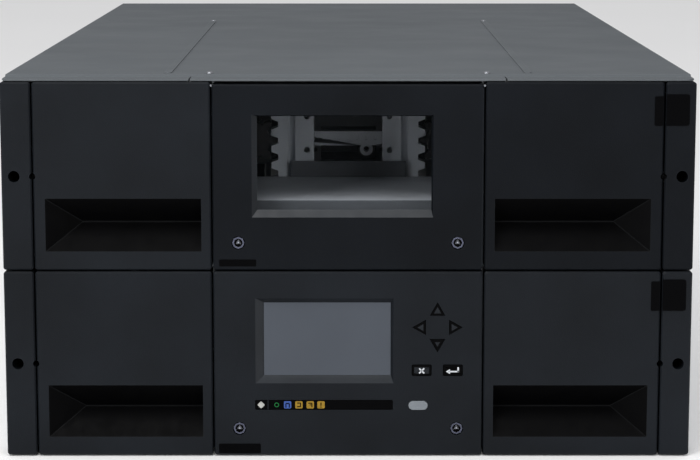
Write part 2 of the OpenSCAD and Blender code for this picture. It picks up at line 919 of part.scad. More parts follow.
// Grip notches at the open mouths of the slots, one per column
module mouth_notches()
    for (c = [0 : columns - 1])
        translate([tray_in, tray_start + tray_wall + slot_play + tape_w / 2
            + c * column_pitch, tray_z - cut])
            linear_extrude(tray_h + 2 * cut) round_rect(2 * notch_reach, notch_w, notch_r);

// Windows in the outer wall, one per slot
module wall_windows()
    for (c = [0 : columns - 1], k = [0 : tiers_held - 1])
        translate([tray_out - tray_wall / 2,
            tray_start + tray_wall + (c + 0.5) * column_pitch,
            tray_z + tray_wall / 2 + (k + 0.5) * tier_pitch])
            cube([tray_wall + 2 * cut, wall_window_w, wall_window_h], center = true);

module magazine_tray(level, side)
    color(tray_grey) at_level(level) on_side(side) {
        difference() {
            union() {
                for (k = [0 : tiers_held]) block(tray_in, tray_out, tray_start, tray_end,
                    tray_z + k * tier_pitch, tray_z + k * tier_pitch + tray_wall);
                for (c = [0 : columns]) block(tray_in, tray_out,
                    tray_start + c * column_pitch, tray_start + c * column_pitch + tray_wall,
                    tray_z, tray_z + tray_h);
                block(tray_out - tray_wall, tray_out, tray_start, tray_end,
                    tray_z, tray_z + tray_h);
            }
            mouth_notches();
            wall_windows();
        }
        // Nose that reaches the bezel
        block(tray_in, tray_in + tray_wall, bezel_d, tray_start + hair, tray_z, tray_z + tray_h);
        block(tray_out - tray_wall, tray_out, bezel_d, tray_start + hair, tray_z, tray_z + tray_h);
        block(tray_in, tray_out, bezel_d, bezel_d + tray_wall, tray_z, tray_z + tray_h);
        for (x = [tray_in + foot_inset, tray_out - foot_inset - foot_w])
            block(x, x + foot_w, frame_back, tray_end, sheet_t + slide_gap, tray_z + hair);
    }

// A tape cartridge lying flat, its mouth towards the aisle
module cartridge()
    difference() {
        translate([tape_l / 2, tape_w / 2, 0])
            linear_extrude(tape_t) round_rect(tape_l, tape_w, tape_r);
        for (y = [tape_groove, tape_w - tape_groove - tape_groove_w])
            translate([-cut, y, tape_t / 2 - 1]) cube([tape_groove_l, tape_groove_w, 2]);
        translate([-cut, (tape_w - tape_mouth_w) / 2, tape_rim])
            cube([tape_mouth_d + cut, tape_mouth_w, tape_t - 2 * tape_rim]);
        translate([tape_l / 2, tape_w / 2, -cut]) cylinder(r = tape_hub_r, h = tape_hub_d + cut);
    }

module cartridges(level, side)
    color([0.08, 0.1, 0.16]) at_level(level) on_side(side)
        for (c = [0 : min(loaded, columns) - 1], k = [0 : tiers_held - 1])
            translate([tray_in + slot_play, tray_start + tray_wall + slot_play + c * column_pitch,
                tray_z + tray_wall + k * tier_pitch]) cartridge();

module magazine_bezel_base_left() magazine_bezel(0, -1);
module magazine_bezel_base_right() magazine_bezel(0, 1);
module magazine_bezel_expansion_left() magazine_bezel(1, -1);
module magazine_bezel_expansion_right() magazine_bezel(1, 1);
module magazine_tray_base_left() magazine_tray(0, -1);
module magazine_tray_base_right() magazine_tray(0, 1);
module magazine_tray_expansion_left() magazine_tray(1, -1);
module magazine_tray_expansion_right() magazine_tray(1, 1);
module cartridges_base_left() cartridges(0, -1);
module cartridges_base_right() cartridges(0, 1);
module cartridges_expansion_left() cartridges(1, -1);
module cartridges_expansion_right() cartridges(1, 1);

// Sheet channels between the side walls and the magazines
module magazine_guides()
    color(zinc_grey) for (level = [0, 1]) at_level(level) both_sides()
        difference() {
            block(tray_out + slide_gap, case_inner, tray_start + 20, tray_end,
                guide_z, tray_h - guide_head);
            block(tray_out + slide_gap + sheet_t, case_w / 2, tray_start, tray_end + cut,
                guide_z + sheet_t, tray_h - guide_head - sheet_t);
        }

// ---- Robot ----

// Straight rack teeth pointing along +X, with a gap centred on lift_z
module rack_outline(z0, z1) {
    pitch = PI * gear_m;
    half_gap = pitch / 4 + backlash / 2;
    slope = tan(20);
    first = ceil((z0 + pitch - lift_z) / pitch);
    last = floor((z1 - pitch - lift_z) / pitch);
    difference() {
        translate([rack_back_x, z0])
            square([rack_x + rack_addendum - rack_back_x, z1 - z0]);
        for (i = [first : last]) translate([rack_x, lift_z + i * pitch])
            polygon([
                [-rack_dedendum, -half_gap + rack_dedendum * slope],
                [rack_addendum + hair, -half_gap - rack_addendum * slope],
                [rack_addendum + hair, half_gap + rack_addendum * slope],
                [-rack_dedendum, half_gap - rack_dedendum * slope]
            ]);
    }
}

// Toothed rack with the folded upright beside it: a panel with holes at the outer
// face, then an open channel against the rack's back
module rack_post(side, d0, front_face)
    color(zinc_grey) at_level(0) on_side(side) {
        front_extrude(d0, d0 + rack_d) rack_outline(sheet_t, post_top);
        back_d = d0 + rack_d - post_sheet;
        panel_d = front_face ? d0 : back_d;
        floor_d = front_face ? d0 + post_channel : back_d - post_channel;
        difference() {
            union() {
                block(post_in, post_fold + post_sheet, panel_d, panel_d + post_sheet,
                    sheet_t, post_top);
                block(post_fold, rack_back_x + hair, floor_d, floor_d + post_sheet,
                    sheet_t, post_top);
                for (x = [post_in, post_fold])
                    block(x, x + post_sheet, d0, d0 + rack_d, sheet_t, post_top);
            }
            for (z = [stack_h - post_hole_top : -post_hole_pitch : post_hole_top])
                translate([post_in + post_hole_x, 0, z])
                    rod_y(post_hole_r, d0 - cut, d0 + rack_d + cut);
        }
    }

module rack_post_front_left() rack_post(-1, aisle_front, true);
module rack_post_front_right() rack_post(1, aisle_front, true);
module rack_post_back_left() rack_post(-1, aisle_back, false);
module rack_post_back_right() rack_post(1, aisle_back, false);

// Point on an involute of base radius r after unrolling by t degrees
function involute(r, t) = [
    r * (cos(t) + t * PI / 180 * sin(t)), r * (sin(t) - t * PI / 180 * cos(t))];
function turned(p, a) = [p[0] * cos(a) - p[1] * sin(a), p[0] * sin(a) + p[1] * cos(a)];

// Pinion outline with one tooth pointing along -X
module pinion_outline() {
    base_r = pitch_r * cos(20);
    tip_r = pitch_r + gear_addendum;
    root_r = pitch_r - gear_dedendum;
    half_tooth = 90 / pinion_teeth - backlash / 2 / pitch_r * 180 / PI
        + (tan(20) * 180 / PI - 20);
    t_tip = sqrt(pow(tip_r / base_r, 2) - 1) * 180 / PI;
    flank = [for (i = [0 : 5]) involute(base_r, t_tip * i / 5)];
    tooth = concat(
        [[root_r * cos(half_tooth), -root_r * sin(half_tooth)]],
        [for (p = flank) turned(p, -half_tooth)],
        [for (i = [5 : -1 : 0]) turned([flank[i][0], -flank[i][1]], half_tooth)],
        [[root_r * cos(half_tooth), root_r * sin(half_tooth)]]
    );
    polygon([for (i = [0 : pinion_teeth - 1]) for (p = tooth)
        turned(p, 180 + i * 360 / pinion_teeth)]);
}

module lift_shaft(side)
    color("silver") at_level(0) on_side(side) translate([shaft_x, 0, lift_z]) {
        rod_y(shaft_d / 2, aisle_front + gear_side_play, aisle_back + rack_d - gear_side_play);
        for (d0 = [aisle_front, aisle_back])
            front_extrude(d0 + gear_side_play, d0 + rack_d - gear_side_play) pinion_outline();
    }

module lift_shaft_left() lift_shaft(-1);
module lift_shaft_right() lift_shaft(1);

module lift_frame()
    color(zinc_grey) at_level(0) difference() {
        union() {
            for (d0 = [beam_front, beam_back - beam_t])
                block(-beam_x, beam_x, d0, d0 + beam_t, lift_z - beam_h / 2, lift_z + beam_h / 2);
            both_sides() block(beam_x - rail_t, beam_x, beam_front, beam_back,
                lift_z - beam_h / 2, lift_z + beam_h / 2);
            translate([motor_x, 0, motor_z]) rod_y(motor_lug, beam_front, beam_front + beam_t);
        }
        both_sides() translate([shaft_x, 0, lift_z])
            rod_y(shaft_d / 2 + run_fit, beam_front - cut, beam_back + cut);
        // Sight hole through the lug that carries the motor
        translate([motor_x, 0, motor_z])
            rod_y(motor_sight, beam_front - cut, beam_front + beam_t + cut);
        // Row of marks along the front beam
        for (i = [-9 : 9]) translate([i * mark_pitch, 0, 0])
            block(-mark_w / 2, mark_w / 2, beam_front - cut, beam_front + 0.8,
                lift_z - 1, lift_z + 2.5);
    }

module guide_rods()
    color("silver") at_level(0) both_sides() translate([rod_x, 0, lift_z])
        rod_y(rod_d / 2, beam_front + beam_t, beam_back - beam_t);

module lift_motor()
    color(deep_black) at_level(0) translate([motor_x, 0, motor_z])
        rod_y(motor_r, beam_front + beam_t, beam_front + beam_t + motor_len);

module carriage()
    color(tray_grey) at_level(0) difference() {
        block(-carriage_x, carriage_x, carriage_d - carriage_half, carriage_d + carriage_half,
            lift_z - carriage_half_h, lift_z + carriage_half_h);
        both_sides() translate([rod_x, 0, lift_z])
            rod_y(rod_d / 2 + run_fit, carriage_d - carriage_half - cut,
                carriage_d + carriage_half + cut);
        translate([0, carriage_d, lift_z - carriage_half_h - cut])
            cylinder(r = hub_r + run_fit, h = 2 * carriage_half_h + 2 * cut);
    }

module turntable()
    color(tray_grey) at_level(0) translate([0, carriage_d, 0]) {
        translate([0, 0, lift_z - carriage_half_h + 2])
            cylinder(r = hub_r, h = table_z - lift_z + carriage_half_h - 2 + hair);
        translate([0, 0, table_z]) cylinder(r = table_r, h = table_t);
        translate([0, 0, table_z + table_t - hair]) linear_extrude(cradle_t + hair)
            square([2 * (cradle_x + cradle_wall), 2 * table_r], center = true);
        both_sides() block(cradle_x, cradle_x + cradle_wall, -table_r, table_r,
            cradle_floor - hair, cradle_floor + cradle_h);
    }

// Sliding gripper with two fingers beside the cradle walls
module picker() {
    back = picker_back - table_r;
    out = cradle_x - slot_play;
    color("silver") at_level(0) translate([0, carriage_d, cradle_floor + slide_gap]) {
        block(2 - cradle_x, cradle_x - 2, back, back + picker_bar, 0, picker_bar_h);
        block(-picker_block, picker_block, back, back + picker_block_d, 0, picker_block_h);
        both_sides() block(out - finger_w, out, back, table_r - 2, 4, 4 + finger_h);
        both_sides() block(out - finger_w - finger_tip, out,
            table_r - 2 - finger_tip_d, table_r - 2, 4, 4 + finger_h);
    }
}

// Reader on the cradle's wall, with a window in its end
module barcode_reader() {
    x1 = -cradle_x - cradle_wall;
    color(deep_black) at_level(0) translate([0, carriage_d, cradle_floor]) difference() {
        block(x1 - reader_w, x1, -reader_half, reader_half, reader_low, reader_high);
        block(x1 - reader_w + reader_wall, x1 - reader_wall, reader_half - 1, reader_half + cut,
            reader_low + reader_wall, reader_high - reader_wall);
    }
}

// ---- Slide-in units at the back ----

// Bow handle that stands out behind a face, its legs a span apart
module bow_handle(span, z, d) {
    for (x = [-span / 2, span / 2 - handle_bar])
        block(x, x + handle_bar, d - hair, d + handle_reach - face_t, z, z + handle_bar);
    block(-span / 2, span / 2, d + handle_reach - face_t - handle_bar,
        d + handle_reach - face_t, z, z + handle_bar);
}

// Upright bow handle for a narrow unit
module upright_handle(x, z0, z1, d) {
    for (z = [z0, z1 - handle_bar])
        block(x, x + handle_bar, d - hair, d + handle_reach - face_t, z, z + handle_bar);
    block(x, x + handle_bar, d + handle_reach - face_t - handle_bar,
        d + handle_reach - face_t, z0, z1);
}

// Ring-shaped slots of a fan grille
module fan_slots(radii, slot)
    for (r = radii) difference() {
        rod_y(r, case_d + face_t - fan_deep, case_d + face_t + cut);
        rod_y(r - slot, case_d - cut, case_d + face_t + 2 * cut);
    }

// Recess for a connector in a unit's back face
module port(x, z, w, h)
    block(x, x + w, case_d + face_t - port_deep, case_d + face_t + cut, z, z + h);

module tape_drive(level)
    color(zinc_grey) at_level(level) translate([0, 0, sheet_t]) difference() {
        union() {
            block(-drive_w / 2, drive_w / 2, drive_front, case_d + hair, 0, drive_h);
            block(-cage_x - flange_lap, cage_x + flange_lap, case_d, case_d + face_t, 0, drive_h);
            translate([drive_handle_x - drive_w / 2, 0, 0])
                bow_handle(drive_handle_span, drive_handle_z, case_d + face_t);
        }
        // Mouth that takes a cartridge from the robot
        block(-tape_w / 2 - drive_mouth_play, tape_w / 2 + drive_mouth_play,
            drive_front - cut, drive_front + drive_mouth_len,
            drive_mouth_z, drive_mouth_z + tape_t + 2 * drive_mouth_play);
        // Cooling fan grille and the two data ports
        translate([drive_w / 2 - drive_fan_in, 0, drive_h / 2])
            fan_slots(drive_fan, fan_slot);
        for (x = drive_ports) port(x, drive_port_z, port_w, port_h);
    }

module tape_drive_base() tape_drive(0);
module tape_drive_expansion() tape_drive(1);

// Middles of the inlet's three pins: the earth pin sits above the other two
function inlet_pins() = [for (i = [-1, 0, 1])
    [inlet_x + inlet_w / 2 + 6 * i, inlet_z + (i == 0 ? 13 : 7)]];

// Power supply with a mains inlet, a fan grille and a handle; origin at its corner
module power_supply(i)
    color(zinc_grey) at_level(0)
        translate([supply_x0 + i * supply_pitch, 0, sheet_t]) difference() {
            union() {
                block(0, supply_w, case_d - supply_len, case_d + hair, 0, supply_h);
                block(-supply_lap, supply_w + supply_lap, case_d, case_d + face_t, 0, supply_h);
                upright_handle(supply_w / 2 + 1, supply_handle_in,
                    supply_h - supply_handle_in, case_d + face_t);
            }
            difference() {
                block(inlet_x, inlet_x + inlet_w, case_d + face_t - inlet_deep,
                    case_d + face_t + cut, inlet_z, inlet_z + inlet_h);
                for (p = inlet_pins())
                    block(p[0] - pin_w / 2, p[0] + pin_w / 2,
                        case_d + face_t - inlet_deep - hair,
                        case_d + face_t - inlet_deep + pin_reach,
                        p[1] - pin_h / 2, p[1] + pin_h / 2);
            }
            translate([supply_w - supply_fan_in, 0, supply_h / 2])
                fan_slots(supply_fan, supply_fan_slot);
        }

module power_supply_left() power_supply(0);
module power_supply_right() power_supply(1);

module controller_card()
    color([0.1, 0.25, 0.16]) at_level(0) translate([-supply_x0 - card_w, 0, sheet_t]) difference() {
        union() {
            block(0, card_w, case_d - card_len, case_d + hair, 0, card_t);
            block(card_bracket_in, card_w - card_bracket_in, case_d - card_bracket_d,
                case_d + hair, card_t - hair, card_h - card_bracket_in);
            block(-flange_lap, card_w + flange_lap, case_d, case_d + face_t, 0, card_h);
        }
        for (x = card_ports) port(x, card_port_z, port_w, port_h);
        for (x = card_slots) port(x, card_slot_z, card_slot_w, card_slot_h);
    }

base_chassis();
expansion_chassis();
top_cover();
cover_screws();
base_rear_panel();
expansion_rear_panel();
rear_thumbscrews();
ear_cap_base_left();
ear_cap_base_right();
ear_cap_expansion_left();
ear_cap_expansion_right();
window_bezel();
window_pane();
window_deck();
operator_panel();
display_module();
display_glass();
status_lens();
key_board();
captive_screws();
key_up();
key_down();
key_left();
key_right();
key_back();
key_enter();
power_button();
magazine_bezel_base_left();
magazine_bezel_base_right();
magazine_bezel_expansion_left();
magazine_bezel_expansion_right();
magazine_tray_base_left();
magazine_tray_base_right();
magazine_tray_expansion_left();
magazine_tray_expansion_right();
cartridges_base_left();
cartridges_base_right();
cartridges_expansion_left();
cartridges_expansion_right();
magazine_guides();
rack_post_front_left();
rack_post_front_right();
rack_post_back_left();
rack_post_back_right();
lift_frame();
guide_rods();
lift_motor();
lift_shaft_left();
lift_shaft_right();
carriage();
turntable();
picker();
barcode_reader();
tape_drive_base();
tape_drive_expansion();
bay_covers();
power_supply_left();
power_supply_right();
controller_card();
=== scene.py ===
# %% [markdown]
# # A stacked data tape library
# A base module with an operator panel carries an expansion module with a window.
# Between the magazines a robot rides up and down on four racks and fetches tapes.
# The CAD part gives every size and joint. This lesson gives it its looks: soft
# edges, paint, plastic, glass, and the small pieces that a maker adds last.
# Everything is in metres, in the frame that the CAD part was packed in.

# %% Load the frame
import json
import math
import bpy
import bmesh
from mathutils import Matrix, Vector


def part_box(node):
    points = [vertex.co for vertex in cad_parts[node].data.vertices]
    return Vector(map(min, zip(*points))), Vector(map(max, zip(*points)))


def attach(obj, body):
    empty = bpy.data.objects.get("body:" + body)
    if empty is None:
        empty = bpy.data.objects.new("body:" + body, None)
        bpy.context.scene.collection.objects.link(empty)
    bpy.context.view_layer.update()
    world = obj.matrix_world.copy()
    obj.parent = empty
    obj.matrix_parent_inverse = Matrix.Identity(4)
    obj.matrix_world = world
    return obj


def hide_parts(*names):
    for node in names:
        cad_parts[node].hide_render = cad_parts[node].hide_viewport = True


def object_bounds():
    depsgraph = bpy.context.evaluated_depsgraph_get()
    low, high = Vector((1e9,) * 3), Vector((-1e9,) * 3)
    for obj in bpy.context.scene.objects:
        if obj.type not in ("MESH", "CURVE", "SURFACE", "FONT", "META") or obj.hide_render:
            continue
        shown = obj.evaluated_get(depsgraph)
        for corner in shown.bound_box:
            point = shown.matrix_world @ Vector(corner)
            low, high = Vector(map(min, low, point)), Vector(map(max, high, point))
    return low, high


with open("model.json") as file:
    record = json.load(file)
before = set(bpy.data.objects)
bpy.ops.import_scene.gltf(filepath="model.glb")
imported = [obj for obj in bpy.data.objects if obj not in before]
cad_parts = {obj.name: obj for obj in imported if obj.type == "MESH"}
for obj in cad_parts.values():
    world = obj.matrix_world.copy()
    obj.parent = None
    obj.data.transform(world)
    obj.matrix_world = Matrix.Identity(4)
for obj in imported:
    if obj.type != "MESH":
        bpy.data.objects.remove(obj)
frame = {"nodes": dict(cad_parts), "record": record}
nodes = frame["nodes"]
cad_box = [list(corner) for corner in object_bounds()]
low = Vector(cad_box[0])
print("CAD box", [[round(c, 4) for c in corner] for corner in cad_box])

# %% [markdown]
# ## Camera
# The library is seen from straight ahead, from a little above its top, with a
# long lens. A long lens keeps the front square and lets the cover taper gently.

# %% Camera
bpy.ops.object.camera_add(
    location=(0.0014, low.y - 1.587, 0.4123),
    rotation=(math.radians(81.04), 0, 0))
camera = bpy.context.object
camera.data.lens = 118.4
camera.data.sensor_width = 36
bpy.context.scene.camera = camera
bpy.context.scene.view_settings.view_transform = "Standard"
print("camera at", [round(c, 3) for c in camera.location])

# %% [markdown]
# ## Light and floor
# Dark plastic shows every reflection, so the room is a plain one: a bright
# ceiling, dimmer walls, a large soft lamp above the front, one low at the left
# that makes the front fade towards the right, and a weak one at the right that
# reaches the robot behind the window. The sky is a ramp over height, which costs
# nothing to render. The floor is a big pale sheet that is also the backdrop.

# %% Room light
SKY = [(0.0, 0.20), (0.5, 0.22), (0.64, 0.46), (1.0, 0.90)]
world = bpy.data.worlds.new("studio_room")
bpy.context.scene.world = world
world.use_nodes = True
sky = world.node_tree
direction = sky.nodes.new("ShaderNodeTexCoord")
split = sky.nodes.new("ShaderNodeSeparateXYZ")
height = sky.nodes.new("ShaderNodeMapRange")
height.inputs["From Min"].default_value = -1
shade = sky.nodes.new("ShaderNodeValToRGB")
while len(shade.color_ramp.elements) < len(SKY):
    shade.color_ramp.elements.new(0.5)
for stop, (place, level) in zip(shade.color_ramp.elements, SKY):
    stop.position = place
    stop.color = (level, level, level * 1.01, 1)
sky.links.new(direction.outputs["Generated"], split.inputs["Vector"])
sky.links.new(split.outputs["Z"], height.inputs["Value"])
sky.links.new(height.outputs["Result"], shade.inputs["Fac"])
sky.links.new(shade.outputs["Color"], sky.nodes["Background"].inputs["Color"])
print("sky from", SKY[0][1], "to", SKY[-1][1])


# %% Soft lamps
def soft_lamp(name, place, target, size, power, tint):
    bpy.ops.object.light_add(type="AREA", location=place)
    lamp = bpy.context.object
    lamp.name = name
    lamp.data.size = size
    lamp.data.energy = power
    lamp.data.color = tint
    aim = Vector(target) - Vector(place)
    lamp.rotation_euler = aim.to_track_quat("-Z", "Y").to_euler()
    return lamp


soft_lamp("top_lamp", (-0.5, -1.9, 2.6), (0, 0, 0.15), 1.8, 46, (1, 0.995, 0.99))
soft_lamp("side_lamp", (-2.4, -3.2, 0.95), (0, 0, 0.13), 1.3, 44, (0.98, 0.99, 1))
soft_lamp("right_lamp", (1.5, -3.4, 0.85), (0, 0, 0.15), 1.0, 15, (0.98, 0.99, 1))
print("three lamps")


# %% [markdown]
# ## Helpers for finishes
# A real surface is never one flat colour. Each finish here starts from a base
# colour, is clouded by a slow noise, gets a fine grain that bends the light, and
# turns a little lighter on edges: partly wear, partly a painted highlight where a
# round edge would catch the light. The edge is found by comparing the true normal
# with a rounded one. Patterns use object coordinates, so they stay on the piece
# when a magazine slides out.

# %% Node helpers
def node(tree, kind, values=None, **settings):
    made = tree.nodes.new("ShaderNode" + kind)
    for key, value in settings.items():
        setattr(made, key, value)
    for key, value in (values or {}).items():
        made.inputs[key].default_value = value
    return made


def scaled(colour, factor):
    return (*[min(c * factor, 1) for c in colour], 1)


# %% Finish builder
def new_finish(name, colour, roughness, metallic=0.0, specular=0.5, cloud=(20, 0.1),
               grain=(1500, 0.1), wear_and_highlight=None, stretch=(1, 1, 1), flakes=None):
    finish = bpy.data.materials.new(name)
    finish.use_nodes = True
    tree = finish.node_tree
    shader = tree.nodes["Principled BSDF"]
    shader.inputs["Metallic"].default_value = metallic
    shader.inputs["Specular IOR Level"].default_value = specular
    place = node(tree, "TexCoord")
    turn = node(tree, "Mapping", {"Scale": stretch})
    tree.links.new(place.outputs["Object"], turn.inputs["Vector"])

    def noise(scale, detail, source):
        made = node(tree, "TexNoise", {"Scale": scale, "Detail": detail})
        tree.links.new(source.outputs[0 if source is turn else "Object"],
                       made.inputs["Vector"])
        return made

    slow = noise(cloud[0], 4, place)
    clouds = node(tree, "ValToRGB")
    dark, light = clouds.color_ramp.elements
    dark.position, dark.color = 0.3, scaled(colour, 1 - cloud[1])
    light.position, light.color = 0.72, scaled(colour, 1 + cloud[1])
    tree.links.new(slow.outputs["Fac"], clouds.inputs["Fac"])
    colour_out = clouds.outputs["Color"]
    if flakes:
        colour_out = spangled(tree, place, colour_out, *flakes)
    # Lighter edges: wear together with a painted highlight
    if wear_and_highlight:
        colour_out = edge_wear_and_highlight(tree, colour_out, *wear_and_highlight)
    tree.links.new(colour_out, shader.inputs["Base Color"])
    sheen = node(tree, "MapRange", {"From Min": 0.3, "From Max": 0.7,
                                    "To Min": roughness * 0.86,
                                    "To Max": min(roughness * 1.14, 1)})
    tree.links.new(noise(cloud[0] * 3, 3, turn).outputs["Fac"], sheen.inputs["Value"])
    tree.links.new(sheen.outputs["Result"], shader.inputs["Roughness"])
    rise = node(tree, "Bump", {"Strength": grain[1], "Distance": 0.0004})
    tree.links.new(noise(grain[0], 2, turn).outputs["Fac"], rise.inputs["Height"])
    tree.links.new(rise.outputs["Normal"], shader.inputs["Normal"])
    return finish


def spangled(tree, place, colour_out, scale, amount):
    """Crystal flakes of hot-dip zinc: each cell is a little lighter or darker."""
    cells = node(tree, "TexVoronoi", {"Scale": scale})
    grey = node(tree, "RGBToBW")
    level = node(tree, "MapRange", {"To Min": 1 - amount, "To Max": 1 + amount})
    tint = node(tree, "VectorMath", operation="SCALE")
    tree.links.new(place.outputs["Object"], cells.inputs["Vector"])
    tree.links.new(cells.outputs["Color"], grey.inputs["Color"])
    tree.links.new(grey.outputs["Val"], level.inputs["Value"])
    tree.links.new(colour_out, tint.inputs[0])
    tree.links.new(level.outputs["Result"], tint.inputs["Scale"])
    return tint.outputs["Vector"]


def edge_wear_and_highlight(tree, colour_out, radius, colour, amount):
    """Mixes in a lighter colour on edges: partly wear, partly a painted highlight."""
    rounded = node(tree, "Bevel", {"Radius": radius}, samples=4)
    true = node(tree, "NewGeometry")
    match = node(tree, "VectorMath", operation="DOT_PRODUCT")
    edge = node(tree, "MapRange", {"From Min": 0.995, "From Max": 0.8,
                                   "To Min": 0, "To Max": amount})
    blend = node(tree, "Mix", {"B": (*colour, 1)}, data_type="RGBA")
    tree.links.new(rounded.outputs["Normal"], match.inputs[0])
    tree.links.new(true.outputs["Normal"], match.inputs[1])
    tree.links.new(match.outputs["Value"], edge.inputs["Value"])
    tree.links.new(edge.outputs["Result"], blend.inputs["Factor"])
    tree.links.new(colour_out, blend.inputs["A"])
    return blend.outputs["Result"]


# %% [markdown]
# ## The floor
# Pale and plain, so that nothing competes with the library. It is stage, not part.

# %% Floor
bpy.ops.mesh.primitive_plane_add(size=60, location=(0, 0, -0.0004))
floor = bpy.context.object
floor.name = "studio_floor"
floor.data.materials.append(new_finish("floor_paper", (0.93, 0.93, 0.93), 0.9,
                                       specular=0.1, cloud=(0.7, 0.008), grain=(300, 0.02)))
print("floor", floor.dimensions[:])

# %% [markdown]
# ## Finishes of the library
# One finish for each material of the part. Powder coat is matt with an orange
# peel. The bezels are spark textured plastic, nearly black. Plated sheet has
# long rolling marks, so its noise is stretched. Glass and keys are glossy.

# %% Finishes
finishes = {
    "casing_paint": new_finish("casing_paint", (0.100, 0.110, 0.119), 0.7, specular=0.08,
        cloud=(5, 0.05), grain=(1600, 0.22), wear_and_highlight=(0.0006, (0.22, 0.23, 0.245), 0.6)),
    "zinc_sheet": new_finish("zinc_sheet", (0.42, 0.44, 0.46), 0.38, metallic=1,
        cloud=(40, 0.10), grain=(700, 0.10), stretch=(1, 0.15, 1), flakes=(140, 0.12)),
    "inner_paint": new_finish("inner_paint", (0.56, 0.60, 0.65), 0.5, specular=0.3,
        cloud=(30, 0.10), grain=(1400, 0.15), wear_and_highlight=(0.0005, (0.7, 0.72, 0.75), 0.7)),
    "screw_steel": new_finish("screw_steel", (0.24, 0.25, 0.27), 0.4, metallic=1,
        cloud=(300, 0.12), grain=(2500, 0.12)),
    "bezel_plastic": new_finish("bezel_plastic", (0.0058, 0.0074, 0.0100), 0.5,
        specular=0.12, cloud=(14, 0.26), grain=(2200, 0.30),
        wear_and_highlight=(0.0005, (0.022, 0.026, 0.031), 0.6)),
    "display_face": new_finish("display_face", (0.060, 0.068, 0.082), 0.24,
        specular=0.12, cloud=(9, 0.10), grain=(60, 0.01)),
    "black_gloss": new_finish("black_gloss", (0.0009, 0.0009, 0.0012), 0.3,
        specular=0.03, cloud=(60, 0.1), grain=(800, 0.02)),
    "circuit_board": new_finish("circuit_board", (0.012, 0.07, 0.032), 0.35,
        specular=0.4, cloud=(240, 0.25), grain=(900, 0.25)),
    "key_plastic": new_finish("key_plastic", (0.010, 0.012, 0.015), 0.5, specular=0.14,
        cloud=(80, 0.15), grain=(2600, 0.2), wear_and_highlight=(0.0004, (0.05, 0.055, 0.06), 0.8)),
    "power_key": new_finish("power_key", (0.165, 0.182, 0.20), 0.38, specular=0.3,
        cloud=(150, 0.08), grain=(2600, 0.12), wear_and_highlight=(0.0004, (0.4, 0.41, 0.42), 0.5)),
    "tray_plastic": new_finish("tray_plastic", (0.045, 0.049, 0.056), 0.55, specular=0.25,
        cloud=(40, 0.14), grain=(1800, 0.2), wear_and_highlight=(0.0005, (0.10, 0.105, 0.115), 0.6)),
    "cartridge_plastic": new_finish("cartridge_plastic", (0.014, 0.017, 0.028), 0.48,
        specular=0.3, cloud=(60, 0.14), grain=(2200, 0.2),
        wear_and_highlight=(0.0004, (0.05, 0.055, 0.07), 0.6)),
    "shaft_steel": new_finish("shaft_steel", (0.42, 0.43, 0.44), 0.25, metallic=1,
        cloud=(200, 0.08), grain=(1600, 0.05), stretch=(1, 0.1, 1)),
    "motor_black": new_finish("motor_black", (0.006, 0.006, 0.0066), 0.45, specular=0.2,
        cloud=(120, 0.15), grain=(1500, 0.15), wear_and_highlight=(0.0005, (0.03, 0.03, 0.034), 0.6)),
    "sled_alloy": new_finish("sled_alloy", (0.42, 0.44, 0.46), 0.36, metallic=1,
        cloud=(120, 0.12), grain=(900, 0.12), stretch=(1, 1, 0.12)),
}
print(len(finishes), "finishes")


# %% [markdown]
# Clear plastic is mostly see-through with a faint gloss. A fully refracting
# glass would need many light bounces, and a thin flat pane hardly bends light,
# so the pane mixes plain transparency with a tinted glossy film.

# %% Window film
def pane_finish():
    finish = bpy.data.materials.new("window_clear")
    finish.use_nodes = True
    tree = finish.node_tree
    shader = tree.nodes["Principled BSDF"]
    shader.inputs["Base Color"].default_value = (0.01, 0.012, 0.014, 1)
    shader.inputs["Roughness"].default_value = 0.1
    shader.inputs["Specular IOR Level"].default_value = 0.1
    place = node(tree, "TexCoord")
    film = node(tree, "TexNoise", {"Scale": 9, "Detail": 2})
    cover = node(tree, "MapRange", {"From Min": 0.3, "From Max": 0.7,
                                    "To Min": 0.04, "To Max": 0.09})
    tree.links.new(place.outputs["Object"], film.inputs["Vector"])
    tree.links.new(film.outputs["Fac"], cover.inputs["Value"])
    tree.links.new(cover.outputs["Result"], shader.inputs["Alpha"])
    return finish


finishes["window_clear"] = pane_finish()
print("window film added")

# %% [markdown]
# The record names one material for each node and the body that each node rides
# on. Every CAD node gets its finish here, also those that a softer copy replaces
# later, so that none is ever left grey.

# %% Finish for every CAD node
slot_of = {part["node"]: part["material_slot"] for part in frame["record"]["subparts"]}
body_of = {name: body for body, names in frame["record"]["behaviour"]["bodies"].items()
           for name in names}


def dress(piece, finish):
    if not piece.material_slots:
        piece.data.materials.append(finish)
    for slot in piece.material_slots:
        slot.material = finish


for name, piece in nodes.items():
    dress(piece, finishes[slot_of[name]])
print(len(nodes), "nodes dressed")


# %% [markdown]
# ## Soft edges
# Moulded and folded parts have small round edges that catch the light. The CAD
# solids are sharp, so each visible one gets a copy: its loose triangles are
# merged, flat faces are joined, and a narrow bevel is applied. Weighted normals
# then keep the large faces flat to the light. The copy replaces the CAD node.

# %% Selection helpers
def only(piece):
    bpy.ops.object.select_all(action="DESELECT")
    piece.select_set(True)
    bpy.context.view_layer.objects.active = piece


def edit(piece, kind="FACE"):
    """Opens a piece for editing with nothing selected."""
    only(piece)
    bpy.ops.object.mode_set(mode="EDIT")
    bpy.ops.mesh.select_mode(type=kind)
    bpy.ops.mesh.select_all(action="DESELECT")


